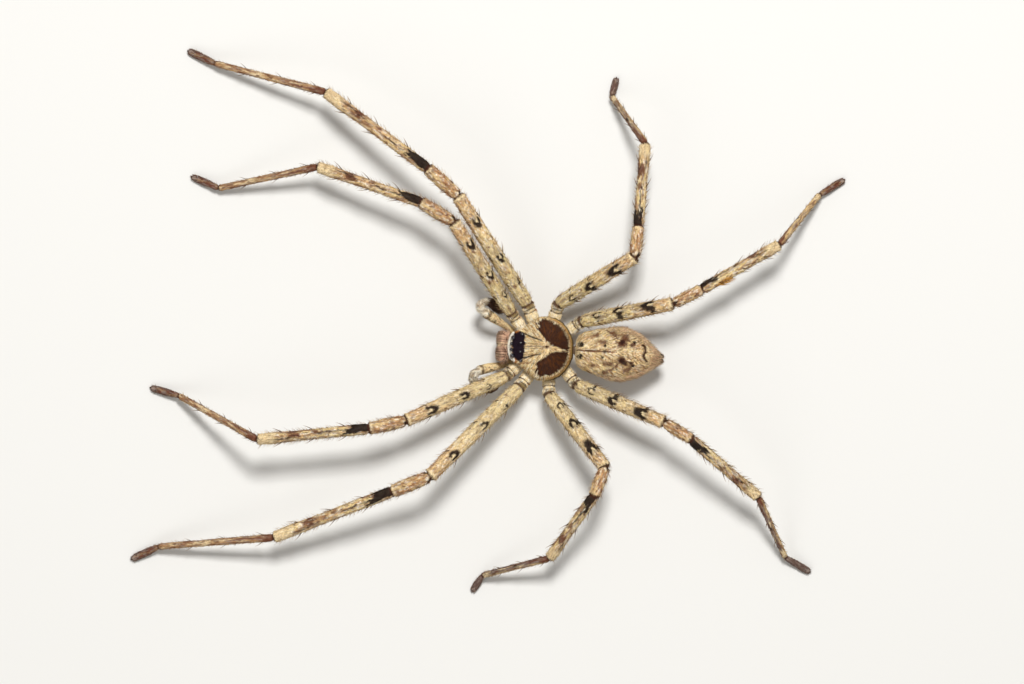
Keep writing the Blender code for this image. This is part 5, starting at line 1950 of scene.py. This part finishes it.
def coat_chelicera(letter, sign):
    def mostly_above(u, v, place):
        return 0.5 + 2.0 * (v < 0.4)

    roots = sow(chelicera_shape(sign), CHELICERA_HAIRS, 130 + sign, mostly_above, rows=88, columns=40)
    out, back = roots.place[:, 0] - BODY_X, roots.place[:, 1] - BODY_Y
    top = ramp(roots.v, 0.50, 0.30)
    fan = out * 0.10 + roots.draw.normal(0, 0.07, roots.count)
    lie = np.stack([fan, -np.ones(roots.count), -0.75 + 0.65 * top], axis=1)
    tone = strand_tone(out, roots.draw)
    colours = lay(
        evenly(JAW_PINK, roots.count),
        (PATCH_BROWN, ramp(tone, 0.50, 0.24) * 0.85),
        (PALE, ramp(tone, 0.70, 0.90) * 0.5),
        (RED_BROWN, ramp(roots.v, 0.5, 0.95) * 0.5),
    )
    to_edge = (back - JAW_EDGE).clip(0.35, 1.6) * roots.draw.uniform(0.85, 1.05, roots.count)
    length = roots.draw.uniform(0.40, 0.85, roots.count) * (1 - top) + to_edge * top
    front = ramp(-roots.normal[:, 1], 0.3, 0.8) * (1 - top)
    lift = 34 - 14 * top - 16 * front
    name = f"chelicera_{letter}_hair"
    return hair_piece(name, "chelicerae", roots, lie, (lift, lift * 0.3), length, 0.085, colours)


print("jaws", [coat_chelicera(letter, sign) for letter, sign in SIDES], "hairs")

# %% [markdown]
# Over both jaws lies a brush of straight bristles in the same strands, which ends in one ragged
# edge. It covers the gap between the jaws, as in life, so its roots lie on a plane of their own.

# %% Lay the brush over the jaws
BRUSH_HAIRS = 1500
BRUSH_HALF_WIDTH = 1.98
BRUSH_BACK, BRUSH_DEPTH = -5.02, 0.7
BRUSH_LEVEL, BRUSH_DROOP = 6.16, 0.45


def lay_brush():
    draw, count = np.random.default_rng(151), BRUSH_HAIRS
    out = draw.uniform(-1, 1, count) * BRUSH_HALF_WIDTH
    start = BRUSH_BACK - draw.uniform(0, BRUSH_DEPTH, count)
    round_off = np.abs(out / BRUSH_HALF_WIDTH) ** 4
    level = BRUSH_LEVEL - BRUSH_DROOP * round_off + draw.normal(0, 0.04, count)
    roots = SimpleNamespace(
        place=np.stack([BODY_X + out, BODY_Y + start, level], axis=1),
        normal=unit(np.stack([out * 0.15, np.zeros(count), np.ones(count)], axis=1)),
        u=draw.random(count),
        v=draw.random(count),
        count=count,
    )
    fan = out * 0.06 + draw.normal(0, 0.06, count)
    lie = np.stack([fan, -np.ones(count), np.zeros(count)], axis=1)
    length = (start - JAW_EDGE - 0.12 * round_off) * draw.uniform(0.80, 1.16, count)
    tone = strand_tone(out, draw)
    colours = lay(
        evenly(np.array(JAW_PINK) * 0.9, count),
        (PATCH_BROWN, ramp(tone, 0.52, 0.26) * 0.85),
        (PALE, ramp(tone, 0.66, 0.86) * 0.6),
    )
    form = {"rings": 3, "sink": 0.05}
    return hair_piece("jaw_brush", "chelicerae", roots, lie, (10, -22), length, 0.11, colours, **form)


print("brush", lay_brush(), "hairs")

# %% [markdown]
# A soft brown membrane ties the jaws to the face, and lets the live animal swing them. Here it
# is a short, flat tube that ends inside both.

# %% Tie the jaws to the face
MEMBRANE_STATIONS = ((0.0, -3.80, 4.85, 1.45), (0.0, -4.55, 4.95, 1.62), (0.0, -5.35, 4.90, 1.45))
MEMBRANE_FLATNESS = 0.38
shape = limb(*through(on_line(MEMBRANE_STATIONS), 0.08, 3), flatness=MEMBRANE_FLATNESS)
# Its dark brown is partly the membrane's own colour and partly painted shade in the gap between the jaws
# and the face.
skin_piece("jaw_membrane", shape, 24, 40, blotchy(MEMBRANE, ORANGE, 85), "chelicerae")
print("membrane", round(MEMBRANE_STATIONS[0][1] - MEMBRANE_STATIONS[-1][1], 2), "mm long")

# %% [markdown]
# ## Hip sockets
# Soft brown skin also joins each hip to the trunk. It is a short plug, a little narrower than
# the hip, that reaches from inside the hip toward the trunk. Two rings of the leg give its axis.

# %% Join the hips to the trunk
SOCKET_RADII = (0.88, 0.80, 0.62)  # shares of the hip's own radius, from the hip inward
SOCKET_REACH = 1.3
SOCKET_RING, AXIS_RING = 5, 10  # counted from the leg's inner end
RING_POINTS = 24


def leg_ring(leg, number):
    around = np.linspace(0, 1, RING_POINTS, endpoint=False)
    return leg.shape(around, np.full(RING_POINTS, number / leg.rows))


def join_hip(leg):
    near, further = leg_ring(leg, SOCKET_RING), leg_ring(leg, AXIS_RING)
    middle = near.mean(axis=0)
    inward = unit((middle - further.mean(axis=0))[None])[0]
    radius = np.linalg.norm(near - middle, axis=1).mean()
    reaches = np.linspace(0, SOCKET_REACH, len(SOCKET_RADII))
    stations = [(*(middle + inward * reach), radius * share) for reach, share in zip(reaches, SOCKET_RADII)]
    shape = limb(*through(stations, 0.08, 3))
    skin_piece(f"leg_{leg.name}_socket", shape, 16, 28, blotchy(MEMBRANE, ORANGE, 91), "legs")
    return round(float(radius), 2)


print("hip radii", [join_hip(leg) for leg in legs.values()])

# %% [markdown]
# ## Palps
# The palps are a short pair of legs beside the jaws. A male's end in a hairy cup with the dark
# bulb in it. Each follows its own bent line, because the spider holds the two differently.

# %% Bend the palps
PALP_BASE = (  # out, back, level and half width
    (0.95, -3.30, 2.80, 0.34), (1.60, -3.95, 2.80, 0.40), (2.25, -4.60, 2.90, 0.34),
    (2.55, -4.95, 3.05, 0.36),
)
PALP_PATHS = {
    "R": (
        (3.05, -5.85, 3.85, 0.40), (4.00, -7.50, 5.05, 0.62), (4.60, -8.55, 5.60, 0.64),
        (4.72, -8.72, 5.63, 0.46), (5.15, -9.22, 5.62, 0.56), (5.70, -9.30, 5.25, 0.52),
        (6.10, -8.75, 4.65, 0.42), (6.20, -8.15, 4.15, 0.48), (5.95, -7.50, 3.60, 0.63),
        (5.45, -6.90, 3.05, 0.63), (5.00, -6.45, 2.60, 0.43), (4.80, -6.25, 2.40, 0.22),
    ),
    "L": (
        (2.75, -5.75, 3.60, 0.40), (3.25, -7.60, 4.60, 0.62), (3.68, -8.88, 5.08, 0.64),
        (3.76, -9.06, 5.10, 0.46), (4.30, -9.58, 4.95, 0.56), (5.05, -9.75, 4.55, 0.52),
        (5.65, -9.35, 4.10, 0.42), (6.00, -8.70, 3.65, 0.48), (6.15, -7.90, 3.25, 0.63),
        (6.10, -7.15, 2.85, 0.63), (5.95, -6.55, 2.55, 0.43), (5.88, -6.25, 2.40, 0.22),
    ),
}
PALP_KNEE, PALP_CUP = 0.50, 0.72  # shares of the whole line
PALP_GRID = (150, 28)


def paint_palp(u, v, places):
    patches = noise(places * 3, 92)
    shin = ramp(v, PALP_KNEE, PALP_KNEE + 0.03)
    flecks = fleck(places, 3.2, 91, 0.24) * ramp(v, 0.30, 0.38) * ramp(v, 0.74, 0.66)
    return lay(
        evenly(BODY_CREAM_WITH_PAINTED_LIGHT, len(u)),
        (PALE, ramp(v, 0.10, 0.22) * 0.85),
        (PINK_TAN, ramp(noise(places * 5, 94), 0.5, 0.75) * 0.5),
        (RED_BROWN, ramp(v, 0.13, 0.04) * 0.7),
        (GREY, shin * ramp(patches, 0.4, 0.7) * 0.6),
        (WHITE, shin * ramp(patches, 0.7, 0.4) * 0.8),
        (BLACK_BROWN, flecks * 0.9),
        (MEMBRANE, ramp(np.abs(v - PALP_KNEE + 0.01), 0.016, 0.006) * 0.8),
        (PATCH_BROWN, ramp(v + (patches - 0.5) * 0.06, PALP_CUP, PALP_CUP + 0.04) * 0.95),
    )


palps = {}
for letter, sign in SIDES:
    stations = on_line(PALP_BASE + PALP_PATHS[letter], sign)
    palps[letter] = limb(*through(stations, 0.08, 3), sign)
    nodes = (f"palp_{letter}", f"palp_{letter}_tip")
    skin_piece(f"palp_{letter}_skin", palps[letter], *PALP_GRID, paint_palp, "palps", *nodes)
print("palps", len(palps))

# %% [markdown]
# The palps' hair is longer and whiter past the knee, and the cup stays dark.

# %% Grow the palps' coat
PALP_HAIRS = 3000


def coat_palp(letter, sign):
    def past_base(u, v, place):
        return v > 0.12

    roots = sow(palps[letter], PALP_HAIRS, 140 + sign, past_base, *PALP_GRID)
    shin = ramp(roots.v, PALP_KNEE, PALP_KNEE + 0.05)
    cup = ramp(roots.v, PALP_CUP - 0.03, PALP_CUP + 0.05)
    length = roots.draw.uniform(0.28, 0.48, roots.count) + shin * roots.draw.uniform(0.0, 0.3, roots.count)
    lift = roots.draw.uniform(16, 36, roots.count) + shin * 12
    whiter = shin * (1 - cup) * (roots.draw.random(roots.count) > 0.55) * 0.6
    colours = paint(paint_palp(roots.u, roots.v, roots.place), WHITE, whiter)
    lie, lifts = sway(roots, 0.2), (lift, lift * 0.3)
    colours = varied(colours, roots.draw)
    return hair_piece(f"palp_{letter}_coat", "palps", roots, lie, lifts, length, 0.065, colours)


print("palps", [coat_palp(letter, sign) for letter, sign in SIDES], "hairs")

# %% [markdown]
# ## Pieces
# The finished pieces are counted, and their triangles with them.

# %% Count the pieces
meshes = [thing.data for thing in bpy.data.objects if thing.type == "MESH" and thing.data.materials]
pieces = [mesh for mesh in meshes if mesh.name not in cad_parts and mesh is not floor_mesh]
triangles = sum(len(mesh.loops) - 2 * len(mesh.polygons) for mesh in pieces)
print("pieces", len(pieces), "triangles", triangles)
